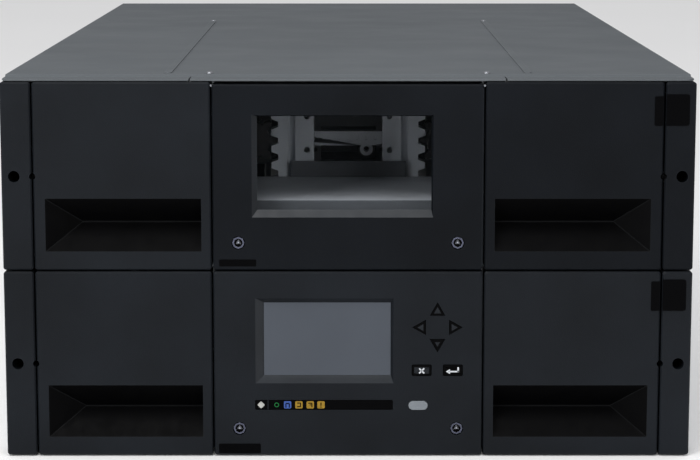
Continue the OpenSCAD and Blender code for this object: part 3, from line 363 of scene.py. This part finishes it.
def pick(piece, test, kind="FACE"):
    """Selects the faces or edges whose middle and direction pass the test."""
    shape = bmesh.from_edit_mesh(piece.data)
    found = 0
    if kind == "FACE":
        for face in shape.faces:
            if test(face.calc_center_median(), face.normal):
                face.select_set(True)
                found += 1
    else:
        for edge in shape.edges:
            a, b = edge.verts[0].co, edge.verts[1].co
            if test((a + b) / 2, (b - a).normalized()):
                edge.select_set(True)
                found += 1
    shape.select_flush_mode()
    bmesh.update_edit_mesh(piece.data)
    return found


def close():
    bpy.ops.object.mode_set(mode="OBJECT")


# %% Soft copy
def bevelled(piece, width, segments=2, angle=30):
    only(piece)
    edge = piece.modifiers.new("soft_edges", "BEVEL")
    edge.width = width
    edge.segments = segments
    edge.limit_method = "ANGLE"
    edge.angle_limit = math.radians(angle)
    edge.miter_outer = "MITER_ARC"
    bpy.ops.object.modifier_apply(modifier=edge.name)
    bpy.ops.object.shade_smooth_by_angle(angle=math.radians(45))
    even = piece.modifiers.new("even_light", "WEIGHTED_NORMAL")
    even.keep_sharp = True
    bpy.ops.object.modifier_apply(modifier=even.name)


def soft_copy(name, width, segments=2):
    piece = bpy.data.objects.new(name + "_soft", nodes[name].data.copy())
    bpy.context.collection.objects.link(piece)
    edit(piece, "VERT")
    bpy.ops.mesh.select_all(action="SELECT")
    bpy.ops.mesh.remove_doubles(threshold=0.000002)
    bpy.ops.mesh.dissolve_limited(angle_limit=math.radians(0.6))
    close()
    bevelled(piece, width, segments)
    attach(piece, body_of[name])
    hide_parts(name)
    return piece


# %% Soften the shells
WIDTHS = {"top_cover": 0.00045, "window_bezel": 0.0004, "operator_panel": 0.0004,
          "window_deck": 0.0004, "status_lens": 0.0001, "cover_screws": 0.0003,
          "guide_rods": 0.0003, "lift_motor": 0.0005, "barcode_reader": 0.0004,
          "carriage": 0.0006, "turntable": 0.0005, "picker": 0.0004,
          "rear_thumbscrews": 0.0003, "controller_card": 0.0003, "bay_covers": 0.0003}
BY_KIND = {"ear_cap": 0.0004, "magazine_bezel": 0.0004, "key_": 0.0003,
           "power_button": 0.0004, "rack_post": 0.0002, "lift_frame": 0.0003,
           "lift_shaft": 0.0002, "tape_drive": 0.0006, "power_supply": 0.0006,
           "cartridges": 0.0005}
for name in nodes:
    for kind, width in BY_KIND.items():
        if name.startswith(kind) and name != "key_board":
            WIDTHS[name] = width
soft = {name: soft_copy(name, width) for name, width in WIDTHS.items()}
for name, piece in soft.items():
    dress(piece, finishes[slot_of[name]])
print(len(soft), "soft copies,", sum(len(p.data.polygons) for p in soft.values()), "faces")


# %% [markdown]
# ## Two finishes on one piece
# Some pieces have areas of their own: a finger pocket is painted black inside, a
# painted shade for its depth, a pinion is black acetal on a steel shaft, a tape
# drive has a black front, and the front faces of the deck behind the window are
# painted darker than its top, a painted shade where the lamps light them most. A
# second material slot is added, and the faces for it are found by their place.
# Painting faces needs no seam in the mesh, and the whole piece stays one shell.

# %% Second finish
def second_finish(piece, finish, test):
    piece.data.materials.append(finish)
    index = len(piece.data.materials) - 1
    count = 0
    for face in piece.data.polygons:
        if test(face.center, face.normal):
            face.material_index = index
            count += 1
    return count


# Black inside the pockets is a painted shade, and the lighter edge along the ridge a painted
# highlight
pocket_painted_shade = new_finish("pocket_painted_shade", (0.0008, 0.0008, 0.0010), 0.5, specular=0.04,
    cloud=(40, 0.2), grain=(1800, 0.15), wear_and_highlight=(0.0012, (0.016, 0.017, 0.018), 0.9))
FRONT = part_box("operator_panel")[0].y
POCKET_FOOT, POCKET_TOP = 0.011, 0.054
POCKET_RIM, POCKET_DEPTH = 0.0006, 0.0175
SHAFT_R = 0.0042
DRIVE_NOSE, DRIVE_RIM = 0.115, 0.002
painted = 0
for name in nodes:
    if name.startswith("magazine_bezel"):
        floor_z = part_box(name)[0].z
        painted += second_finish(soft[name], pocket_painted_shade, lambda c, n, z=floor_z:
            n.y < 0.3 and FRONT + POCKET_RIM < c.y < FRONT + POCKET_DEPTH
            and z + POCKET_FOOT < c.z < z + POCKET_TOP)
    if name.startswith("lift_shaft"):
        axis_x = sum(c.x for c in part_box(name)) / 2
        axis_z = sum(c.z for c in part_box(name)) / 2
        painted += second_finish(soft[name], finishes["motor_black"], lambda c, n, x=axis_x,
            z=axis_z: math.hypot(c.x - x, c.z - z) > SHAFT_R or abs(n.y) > 0.9)
    if name.startswith("tape_drive"):
        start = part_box(name)[0].y
        painted += second_finish(soft[name], finishes["motor_black"], lambda c, n, y=start:
            c.y < y + DRIVE_NOSE and (n.y < -0.5 or c.y > y + DRIVE_RIM))
# The deck's front faces get a darker colour than its top: a painted shade
deck_lip = new_finish("deck_lip", (0.085, 0.094, 0.106), 0.5, specular=0.2,
    cloud=(30, 0.10), grain=(1400, 0.15), wear_and_highlight=(0.0005, (0.2, 0.21, 0.23), 0.6))
painted += second_finish(soft["window_deck"], deck_lip, lambda c, n: n.y < -0.2)
print(painted, "faces repainted")

# %% [markdown]
# ## Rear connectors
# Ports, mains inlets and fan grilles are holes in a plated face with black
# plastic behind them. All faces that lie a little inside the rear face, and away
# from its outer edge, take the black finish. The card also gets a plated bracket
# over its end, as green board would not show there.

# %% Rear connectors
FACE_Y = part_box("bay_covers")[1].y
FACE_SKIN, FACE_EDGE = 0.0002, 0.002
BRACKET_T, CONNECTOR_DEPTH = 0.0016, 0.016
rear = 0
for name, piece in soft.items():
    if name.startswith(("tape_drive", "power_supply", "controller_card")):
        low_c, high_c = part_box(name)
        inner = lambda c, a=low_c, b=high_c: (
            a.x + FACE_EDGE < c.x < b.x - FACE_EDGE
            and a.z + FACE_EDGE < c.z < b.z - FACE_EDGE)
        if name == "controller_card":
            rear += second_finish(piece, finishes["zinc_sheet"], lambda c, n:
                c.y > FACE_Y - BRACKET_T)
        rear += second_finish(piece, finishes["motor_black"], lambda c, n:
            inner(c) and FACE_Y - CONNECTOR_DEPTH < c.y < FACE_Y - FACE_SKIN
            and n.y > -0.3)
print(rear, "rear faces refinished")

# %% [markdown]
# ## Darker mouldings
# The window panel and the mouldings at its right look a shade darker than the
# rest, where less of the light from the left reaches. More lamps could make that
# difference, but here the shade is painted: a darker finish on the three pieces,
# which holds from every side. The carriage gets the pale paint of the uprights.

# %% Darker mouldings
# A darker bezel finish: painted shade on the right hand mouldings
right_painted_shade = new_finish("bezel_painted_shade", (0.0030, 0.0040, 0.0058), 0.52,
    specular=0.09, cloud=(14, 0.30), grain=(2200, 0.30),
    wear_and_highlight=(0.0005, (0.018, 0.021, 0.025), 0.6))
DARK = ("window_bezel", "magazine_bezel_expansion_right", "ear_cap_expansion_right")
for name in DARK:
    soft[name].material_slots[0].material = right_painted_shade
dress(soft["carriage"], finishes["inner_paint"])
print(len(DARK), "darker mouldings")


# %% [markdown]
# ## Helpers for small pieces
# Most small pieces start as a block or a disc at its size and place. The edges
# that need rounding are picked by their direction and bevelled in edit mode.
# What repeats is copied with its own mesh, and what belongs together is joined.

# %% Blocks and discs
def settle(piece, name):
    piece.name = name
    only(piece)
    bpy.ops.object.transform_apply(location=True, rotation=True, scale=True)
    return piece


def slab(name, x0, x1, y0, y1, z0, z1):
    bpy.ops.object.select_all(action="DESELECT")
    bpy.ops.mesh.primitive_cube_add(size=1,
        location=((x0 + x1) / 2, (y0 + y1) / 2, (z0 + z1) / 2),
        scale=(abs(x1 - x0), abs(y1 - y0), abs(z1 - z0)))
    return settle(bpy.context.object, name)


def disc(name, x, z, y0, y1, radius, sides=40):
    bpy.ops.object.select_all(action="DESELECT")
    bpy.ops.mesh.primitive_cylinder_add(vertices=sides, radius=radius, depth=abs(y1 - y0),
        location=(x, (y0 + y1) / 2, z), rotation=(math.radians(90), 0, 0))
    return settle(bpy.context.object, name)


def round_edges(piece, direction, radius, segments=4, test=lambda c: True):
    axis = Vector(direction)
    edit(piece, "EDGE")
    pick(piece, lambda c, d: abs(d.dot(axis)) > 0.99 and test(c), "EDGE")
    bpy.ops.mesh.bevel(offset=radius, offset_type="OFFSET", segments=segments,
                       affect="EDGES")
    close()


def press(piece, inset, depth, side=-1):
    """Insets the face that looks along -Y (or +Y) and pushes it in by depth."""
    edit(piece)
    edge_y = (min if side < 0 else max)(v.co.y for v in piece.data.vertices)
    pick(piece, lambda c, n: n.y * side > 0.99 and abs(c.y - edge_y) < 0.00002)
    bpy.ops.mesh.inset(thickness=inset)
    if depth:
        bpy.ops.mesh.extrude_region_move(TRANSFORM_OT_translate={"value": (0, -side * depth, 0)})
    close()


def place(piece, body, slot, finish, soften=0.0001):
    """Last steps for every new piece: soft edges, finish and body. The slot is not used."""
    bpy.context.view_layer.update()
    if soften:
        bevelled(piece, soften)
    dress(piece, finish)
    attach(piece, body)
    return piece


def shift_mesh(piece, shift):
    edit(piece, "VERT")
    bpy.ops.mesh.select_all(action="SELECT")
    bpy.ops.transform.translate(value=shift)
    close()


def turn_mesh(piece, angle, axis, centre):
    edit(piece, "VERT")
    bpy.ops.mesh.select_all(action="SELECT")
    bpy.ops.transform.rotate(value=angle, orient_axis=axis, center_override=centre)
    close()


def twin(piece, name, shift):
    """A copy with its own mesh, moved to its own place."""
    other = bpy.data.objects.new(name, piece.data.copy())
    bpy.context.collection.objects.link(other)
    shift_mesh(other, shift)
    return other


def join(pieces, name):
    bpy.ops.object.select_all(action="DESELECT")
    for piece in pieces:
        piece.select_set(True)
    bpy.context.view_layer.objects.active = pieces[0]
    bpy.ops.object.join()
    pieces[0].name = name
    return pieces[0]


print("helpers ready")

# %% [markdown]
# ## Badge and label plates
# At the right end of each module sits a small black plate over the seam between
# the magazine and the end cap. The magazine must slide out, so the plate is cut
# at the seam: one part stays on the cap, a sliver rides on the magazine. Two
# flat labels sit low on the centre panels. Nothing is written on any of them.

# %% Badge plates
PROUD, LABEL_PROUD, SUNK = 0.0005, 0.00025, 0.0002
SLIVER_INNER, SLIVER_OUTER, SLIVER_DROP = 0.0066, 0.0004, 0.0014
PLATE_GAP = 0.0003
BADGES = {"expansion": (0.0084, 0.0303, 0.0046), "base": (0.0055, 0.0278, 0.0043)}
for level, (top, bottom, side) in BADGES.items():
    cap_low, cap_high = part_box("ear_cap_%s_right" % level)
    bezel_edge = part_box("magazine_bezel_%s_right" % level)[1].x
    plate = slab("badge_plate_" + level, cap_low.x + PLATE_GAP, cap_high.x - side,
                 FRONT - PROUD, FRONT + SUNK, cap_high.z - bottom, cap_high.z - top)
    round_edges(plate, (0, 1, 0), 0.0016, 2, lambda c, x=cap_low.x: c.x > x + 0.005)
    place(plate, "library", "black_gloss", finishes["black_gloss"], 0.00015)
    sliver = slab("badge_edge_" + level, bezel_edge - SLIVER_INNER,
                  bezel_edge - SLIVER_OUTER, FRONT - PROUD, FRONT + SUNK,
                  cap_high.z - bottom, cap_high.z - top - SLIVER_DROP)
    round_edges(sliver, (0, 1, 0), 0.0008, 2, lambda c, x=bezel_edge: c.x < x - 0.004)
    place(sliver, "magazine_%s_right" % level, "black_gloss", finishes["black_gloss"],
          0.00015)
print("badge plates on", len(BADGES), "modules")

# %% Label plates
LABELS = {"window_bezel": (0.0042, 0.0301, 0.0026, 0.0075),
          "operator_panel": (0.0030, 0.0326, 0.0012, 0.0082)}
for panel, (x0, x1, z0, z1) in LABELS.items():
    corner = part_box(panel)[0]
    label = slab("label_plate_" + panel, corner.x + x0, corner.x + x1,
                 FRONT - LABEL_PROUD, FRONT + SUNK, corner.z + z0, corner.z + z1)
    round_edges(label, (0, 1, 0), 0.0008, 3)
    place(label, "library", "black_gloss", finishes["black_gloss"], 0.0001)
print("label plates on", ", ".join(LABELS))

# %% [markdown]
# ## Captive screws
# Each centre panel is held by two screws that stay in it. The head is an eight
# sided collar whose bowl is painted black, a painted shade for the dark inside of
# the recess, and a three sided driver nose stands in the bowl, pale enough to
# paint a glint on it. One screw is modelled from a cylinder by insets and
# extrusions, and then copied to the other three places.

# %% Captive screw
collar_blue = new_finish("collar_blue", (0.085, 0.092, 0.135), 0.35, metallic=0.8,
    cloud=(400, 0.2), grain=(2500, 0.15), wear_and_highlight=(0.0004, (0.4, 0.42, 0.5), 0.6))
shot_low, shot_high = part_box("captive_screws")
panel_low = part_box("operator_panel")[0]
SCREW_R, SHANK_R = 0.0043, 0.0008
HEAD_T, COLLAR_BAND, BOWL = 0.003, 0.0011, 0.0022
SCREW_RISE = 0.0192
screw_x = shot_high.x - SCREW_R
screw_z = panel_low.z + SCREW_RISE
head_front = shot_low.y
head = disc("captive_screw_1", screw_x, screw_z, head_front, head_front + HEAD_T,
            SCREW_R, 8)
press(head, COLLAR_BAND, BOWL)
press(head, 0.0020, 0, side=1)
edit(head)
back_y = max(v.co.y for v in head.data.vertices)
pick(head, lambda c, n: n.y > 0.99 and abs(c.y - back_y) < 0.00002
     and math.hypot(c.x - screw_x, c.z - screw_z) < SHANK_R)
bpy.ops.mesh.extrude_region_move(
    TRANSFORM_OT_translate={"value": (0, shot_high.y - back_y, 0)})
close()
dress(head, collar_blue)
# The bowl is painted black: a painted shade inside the recess
second_finish(head, finishes["black_gloss"], lambda c, n: n.y < 0.5
    and head_front + 0.0004 < c.y < head_front + HEAD_T - FACE_SKIN
    and math.hypot(c.x - screw_x, c.z - screw_z) < SCREW_R - SHANK_R)
bpy.ops.object.select_all(action="DESELECT")
bpy.ops.mesh.primitive_cone_add(vertices=3, radius1=0.0026, radius2=0.0007, depth=0.0018,
    location=(screw_x, head_front + 0.0014, screw_z), rotation=(math.radians(90), 0, 0))
nose = settle(bpy.context.object, "driver_nose_painted_glint")
# The pale nose is a painted glint in the bowl
dress(nose, new_finish("driver_nose_painted_glint", (0.42, 0.44, 0.5), 0.35, metallic=0.6,
                       cloud=(500, 0.1), grain=(2500, 0.1)))
head = join([head, nose], "captive_screw_1")
bevelled(head, 0.00012)
level_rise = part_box("window_bezel")[0].z - panel_low.z
moves = [(-2 * screw_x, 0, 0), (0, 0, level_rise), (-2 * screw_x, 0, level_rise)]
screws = [head] + [twin(head, "captive_screw_%d" % (i + 2), move)
                   for i, move in enumerate(moves)]
for screw in screws:
    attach(screw, "library")
    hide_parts("captive_screws")
print(len(screws), "captive screws")

# %% [markdown]
# ## Keys
# Each key is a soft cap with a black rim painted on it, a painted shade for the
# dark gap round the key. The front face of the soft copy is inset, and the band
# round it takes the black finish, so the rim follows the outline of the key. The
# cross and the return arrow are thin raised bars.

# %% Painted shade rims
rim_painted_shade = new_finish("key_rim_painted_shade", (0.0010, 0.0010, 0.0012), 0.7, specular=0.04,
                    cloud=(200, 0.2), grain=(2500, 0.3))
mark_white = new_finish("mark_white", (0.55, 0.57, 0.6), 0.6, specular=0.2,
                        cloud=(300, 0.06), grain=(2500, 0.1))
RIM = {"key_up": 0.0013, "key_down": 0.0017, "key_left": 0.0013, "key_right": 0.0013,
       "key_back": 0.0012, "key_enter": 0.0013}
# The black band on each cap is a painted shade for the gap round the key
for name, rim in RIM.items():
    cap = soft[name]
    cap.data.materials.append(rim_painted_shade)
    front = min(v.co.y for v in cap.data.vertices)
    edit(cap)
    bpy.ops.mesh.select_all(action="SELECT")
    cap.active_material_index = 1
    bpy.ops.object.material_slot_assign()
    bpy.ops.mesh.select_all(action="DESELECT")
    pick(cap, lambda c, n: n.y < -0.99 and abs(c.y - front) < 0.00005)
    bpy.ops.mesh.inset(thickness=rim)
    if name != "key_enter":
        cap.active_material_index = 0
        bpy.ops.object.material_slot_assign()
    close()
print("rims on", len(RIM), "keys")

# %% Cross and return arrow
def middle_of(name):
    low_corner, high_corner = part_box(name)
    return (low_corner + high_corner) / 2


KEY_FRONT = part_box("key_back")[0].y
MARK_PROUD, MARK_SUNK = 0.00006, 0.0001
CROSS_DROP, ARROW_DROP, ARROW_REACH = 0.0003, 0.0008, 0.0030
back_key, enter_key = middle_of("key_back"), middle_of("key_enter")


def bar(name, x, z, width, height, turn=0.0):
    piece = slab(name, x - width / 2, x + width / 2, KEY_FRONT - MARK_PROUD,
                 KEY_FRONT + MARK_SUNK, z - height / 2, z + height / 2)
    turn_mesh(piece, turn, "Y", (x, 0, z))
    return piece


cross_z = back_key.z - CROSS_DROP
cross = join([bar("cross_a", back_key.x, cross_z, 0.0050, 0.0010, math.pi / 4),
              bar("cross_b", back_key.x, cross_z, 0.0050, 0.0010, -math.pi / 4)],
             "key_cross")
place(cross, "key_back_cap", "key_plastic", mark_white, 0)
arrow_z = enter_key.z - ARROW_DROP
tip_x = enter_key.x - ARROW_REACH
shaft_bar = bar("arrow_shaft", enter_key.x + 0.0006, arrow_z, 0.0072, 0.0011)
riser = bar("arrow_riser", enter_key.x + 0.0037, enter_key.z + 0.0005, 0.0011, 0.0036)
bpy.ops.object.select_all(action="DESELECT")
bpy.ops.mesh.primitive_cylinder_add(vertices=3, radius=0.0020,
    depth=MARK_PROUD + MARK_SUNK, rotation=(math.radians(90), 0, 0),
    location=(tip_x, KEY_FRONT + (MARK_SUNK - MARK_PROUD) / 2, arrow_z))
tip = settle(bpy.context.object, "arrow_tip")
turn_mesh(tip, math.pi / 2, "Y", (tip_x, 0, arrow_z))
arrow = join([shaft_bar, riser, tip], "key_return_arrow")
place(arrow, "key_enter_cap", "key_plastic", mark_white, 0)
print("cross and return arrow")

# %% [markdown]
# ## Status strip
# On the gloss black strip stand a pale diamond in its own field and a row of lit
# signs: a green ring, a blue square and three amber squares, each with a plain
# dark mark. They glow faintly, so each colour has its own finish. The signs are
# thin tiles, because a printed picture would need an image file.

# %% Status signs
def sign_finish(name, colour, glow):
    finish = new_finish(name, colour, 0.4, specular=0.2, cloud=(400, 0.12),
                        grain=(2500, 0.05))
    shader = finish.node_tree.nodes["Principled BSDF"]
    shader.inputs["Emission Color"].default_value = (*colour, 1)
    shader.inputs["Emission Strength"].default_value = glow
    return finish


lens_low, lens_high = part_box("status_lens")
lens_z = (lens_low.z + lens_high.z) / 2
SIGN_FRONT = lens_low.y - 0.00015
SIGN_BACK = lens_low.y + 0.0001
SIGN_SIZE, STROKE_T = 0.0052, 0.00005
blue_sign = sign_finish("sign_blue", (0.035, 0.075, 0.27), 0.08)
amber_sign = sign_finish("sign_amber", (0.25, 0.15, 0.014), 0.06)
green_sign = sign_finish("sign_green", (0.008, 0.12, 0.03), 0.1)
pale_sign = sign_finish("sign_pale", (0.36, 0.36, 0.34), 0.08)
left_end = lens_low.x


def tile(name, x, size, corner):
    made = slab(name, x - size / 2, x + size / 2, SIGN_FRONT, SIGN_BACK,
                lens_z - size / 2, lens_z + size / 2)
    round_edges(made, (0, 1, 0), corner, 3)
    return made


def mark(name, x, z, width, height):
    """A thin dark stroke; x and z count from the sign's and the strip's middle."""
    return slab(name, x - width / 2, x + width / 2, SIGN_FRONT - STROKE_T,
                SIGN_FRONT + STROKE_T, lens_z + z - height / 2, lens_z + z + height / 2)


SIGNS = {"sign_arch": (0.0229, blue_sign), "sign_disk": (0.0309, amber_sign),
         "sign_card": (0.0389, amber_sign), "sign_bars": (0.0465, amber_sign)}
for name, (away, finish) in SIGNS.items():
    made = tile(name, left_end + away, SIGN_SIZE, 0.0008)
    place(made, "library", "black_gloss", finish, 0)
# Each stroke: place across and up from the sign's middle, width and height
STROKES = {
    "sign_arch": [(-0.0012, -0.0006, 0.0008, 0.0028), (0.0012, -0.0006, 0.0008, 0.0028),
                  (0, 0.0010, 0.0026, 0.0008)],
    "sign_disk": [(0, 0.0013, 0.0026, 0.0007), (0, -0.0013, 0.0026, 0.0007),
                  (0.0011, 0, 0.0007, 0.0028)],
    "sign_card": [(0, 0.0012, 0.0028, 0.0007), (0.0004, 0, 0.0018, 0.0006),
                  (0.0012, -0.0004, 0.0007, 0.0026)],
    "sign_bars": [(0, 0.0005, 0.0008, 0.0024), (0, -0.0016, 0.0009, 0.0008)]}
strokes = [mark("%s_%d" % (name, i), left_end + SIGNS[name][0] + across, up, width, tall)
           for name, rows in STROKES.items()
           for i, (across, up, width, tall) in enumerate(rows)]
marks = join(strokes, "sign_marks")
place(marks, "library", "black_gloss", finishes["black_gloss"], 0)
bpy.ops.object.select_all(action="DESELECT")
bpy.ops.mesh.primitive_torus_add(major_radius=0.0014, minor_radius=0.0003,
    major_segments=24, minor_segments=6, location=(left_end + 0.0152, SIGN_FRONT, lens_z),
    rotation=(math.radians(90), 0, 0))
ring = settle(bpy.context.object, "sign_ring")
place(ring, "library", "black_gloss", green_sign, 0)
diamond_x = left_end + 0.0042
diamond = tile("sign_diamond", diamond_x, 0.0038, 0.0007)
turn_mesh(diamond, math.pi / 4, "Y", (diamond_x, 0, lens_z))
place(diamond, "library", "black_gloss", pale_sign, 0)
divider = slab("strip_split", left_end + 0.0088, left_end + 0.0094, SIGN_FRONT,
               SIGN_BACK, lens_low.z + SUNK, lens_high.z - SUNK)
round_edges(divider, (0, 1, 0), 0.0001, 1)
place(divider, "library", "black_gloss", finishes["bezel_plastic"], 0)
print("status signs", len(SIGNS) + 2)

# %% [markdown]
# ## Lit slopes
# The lower and the left sloping sides of the two recesses catch more light, so
# they look lighter. They get a finish of their own: a little smoother than the
# spark textured front, and lighter in colour, which paints that light on. Their
# faces are found by the way they slope.

# %% Slope finish
# The lighter colours on the slopes are painted light
sill_painted_light = new_finish("sill_painted_light", (0.019, 0.022, 0.026), 0.4, specular=0.2,
    cloud=(30, 0.15), grain=(2200, 0.12), wear_and_highlight=(0.0004, (0.045, 0.05, 0.056), 0.6))
side_painted_light = new_finish("side_painted_light", (0.011, 0.013, 0.016), 0.4, specular=0.2,
    cloud=(30, 0.15), grain=(2200, 0.12), wear_and_highlight=(0.0004, (0.026, 0.03, 0.034), 0.6))
PANEL_FOOT, PANEL_HEAD = 0.02, 0.01
for name in ("window_bezel", "operator_panel"):
    low_z, high_z = (corner.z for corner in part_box(name))
    inside = lambda c: (c.y > FRONT + SUNK
                        and low_z + PANEL_FOOT < c.z < high_z - PANEL_HEAD)
    sills = second_finish(soft[name], sill_painted_light, lambda c, n: inside(c)
        and 0.25 < n.z < 0.98 and n.y < -0.15 and abs(n.x) < 0.2)
    sides = second_finish(soft[name], side_painted_light, lambda c, n: inside(c)
        and 0.25 < n.x < 0.98 and n.y < -0.15 and abs(n.z) < 0.2)
    print(name, sills, "sill faces,", sides, "side faces")

# %% [markdown]
# ## Latch tips
# Two bright studs show in the seams at the upper corners of the window panel.
# They are taken for the tips of plated latches that hold it.

# %% Latch tips
top_low, top_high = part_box("window_bezel")
STUD_R, STUD_OUT, STUD_LENGTH = 0.0008, 0.0004, 0.004
stud = disc("latch_tip_left", top_low.x - STUD_OUT, top_high.z - STUD_R,
            FRONT - 0.0001, FRONT + STUD_LENGTH, STUD_R, 12)
press(stud, 0.00025, -0.0002)
place(stud, "library", "screw_steel", finishes["screw_steel"], 0.0001)
other = twin(stud, "latch_tip_right", (2 * (STUD_OUT - top_low.x), 0, 0))
place(other, "library", "screw_steel", finishes["screw_steel"], 0)
print("latch tips")

# %% [markdown]
# ## Fans behind the rear slots
# Axial fans stand behind the slots in the rear panels and keep daylight out of
# the library. A fan's frame is a square block whose middle is sunk by inset and
# extrude, and its rotor is a hub with seven tilted blades. Two fans side by side
# make a pair, and the finished pair is copied to every row of slots.

# %% Fan
panel_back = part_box("base_rear_panel")[0].y
supply_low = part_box("power_supply_left")[0]
FAN, FAN_T, FAN_GAP, FAN_PITCH = 0.048, 0.0275, 0.0005, 0.049
HUB_R, BLADE_END, BLADES, BLADE_TILT = 0.0085, 0.0205, 7, 0.6
HALF_ROW = 0.0555
fan_y1 = panel_back - FAN_GAP
fan_y0 = fan_y1 - FAN_T
fan_x = supply_low.x + HALF_ROW
fan_z = 0.0855


def fan_frame(name, x, z):
    frame_block = slab(name, x - FAN / 2, x + FAN / 2, fan_y0, fan_y1, z - FAN / 2,
                       z + FAN / 2)
    round_edges(frame_block, (0, 1, 0), 0.004, 3)
    edit(frame_block)
    pick(frame_block, lambda c, n: n.y > 0.99)
    bpy.ops.mesh.inset(thickness=0.0025)
    bpy.ops.mesh.extrude_region_move(TRANSFORM_OT_translate={"value": (0, -0.02, 0)})
    close()
    return frame_block


def fan_rotor(name, x, z):
    hub = disc(name, x, z, fan_y1 - 0.018, fan_y1 - 0.003, HUB_R, 20)
    press(hub, 0.0015, 0.0008, side=1)
    mid_y = fan_y1 - 0.0103
    blades = []
    for i in range(BLADES):
        blade = slab("blade_%d" % i, x + 0.007, x + BLADE_END, mid_y - 0.0005,
                     mid_y + 0.0005, z - 0.0055, z + 0.0055)
        turn_mesh(blade, BLADE_TILT, "X", (x, mid_y, z))
        turn_mesh(blade, i * 2 * math.pi / BLADES, "Y", (x, 0, z))
        blades.append(blade)
    return join([hub] + blades, name)


fan = join([fan_frame("rear_fan_1", fan_x, fan_z), fan_rotor("rotor", fan_x, fan_z)],
           "rear_fan_1")
pair = twin(fan, "pair", (FAN_PITCH, 0, 0))
fan = join([fan, pair], "rear_fan_1")
shift_mesh(fan, (-FAN_PITCH / 2, 0, 0))
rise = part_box("expansion_rear_panel")[0].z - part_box("base_rear_panel")[0].z
spots = [(-2 * fan_x, 0, 0), (0, 0, rise), (-2 * fan_x, 0, rise)]
fans = [fan] + [twin(fan, "rear_fan_%d" % (i + 2), spot) for i, spot in enumerate(spots)]
for piece in fans:
    place(piece, "library", "motor_black", finishes["motor_black"], 0)
print(len(fans), "pairs of fans")
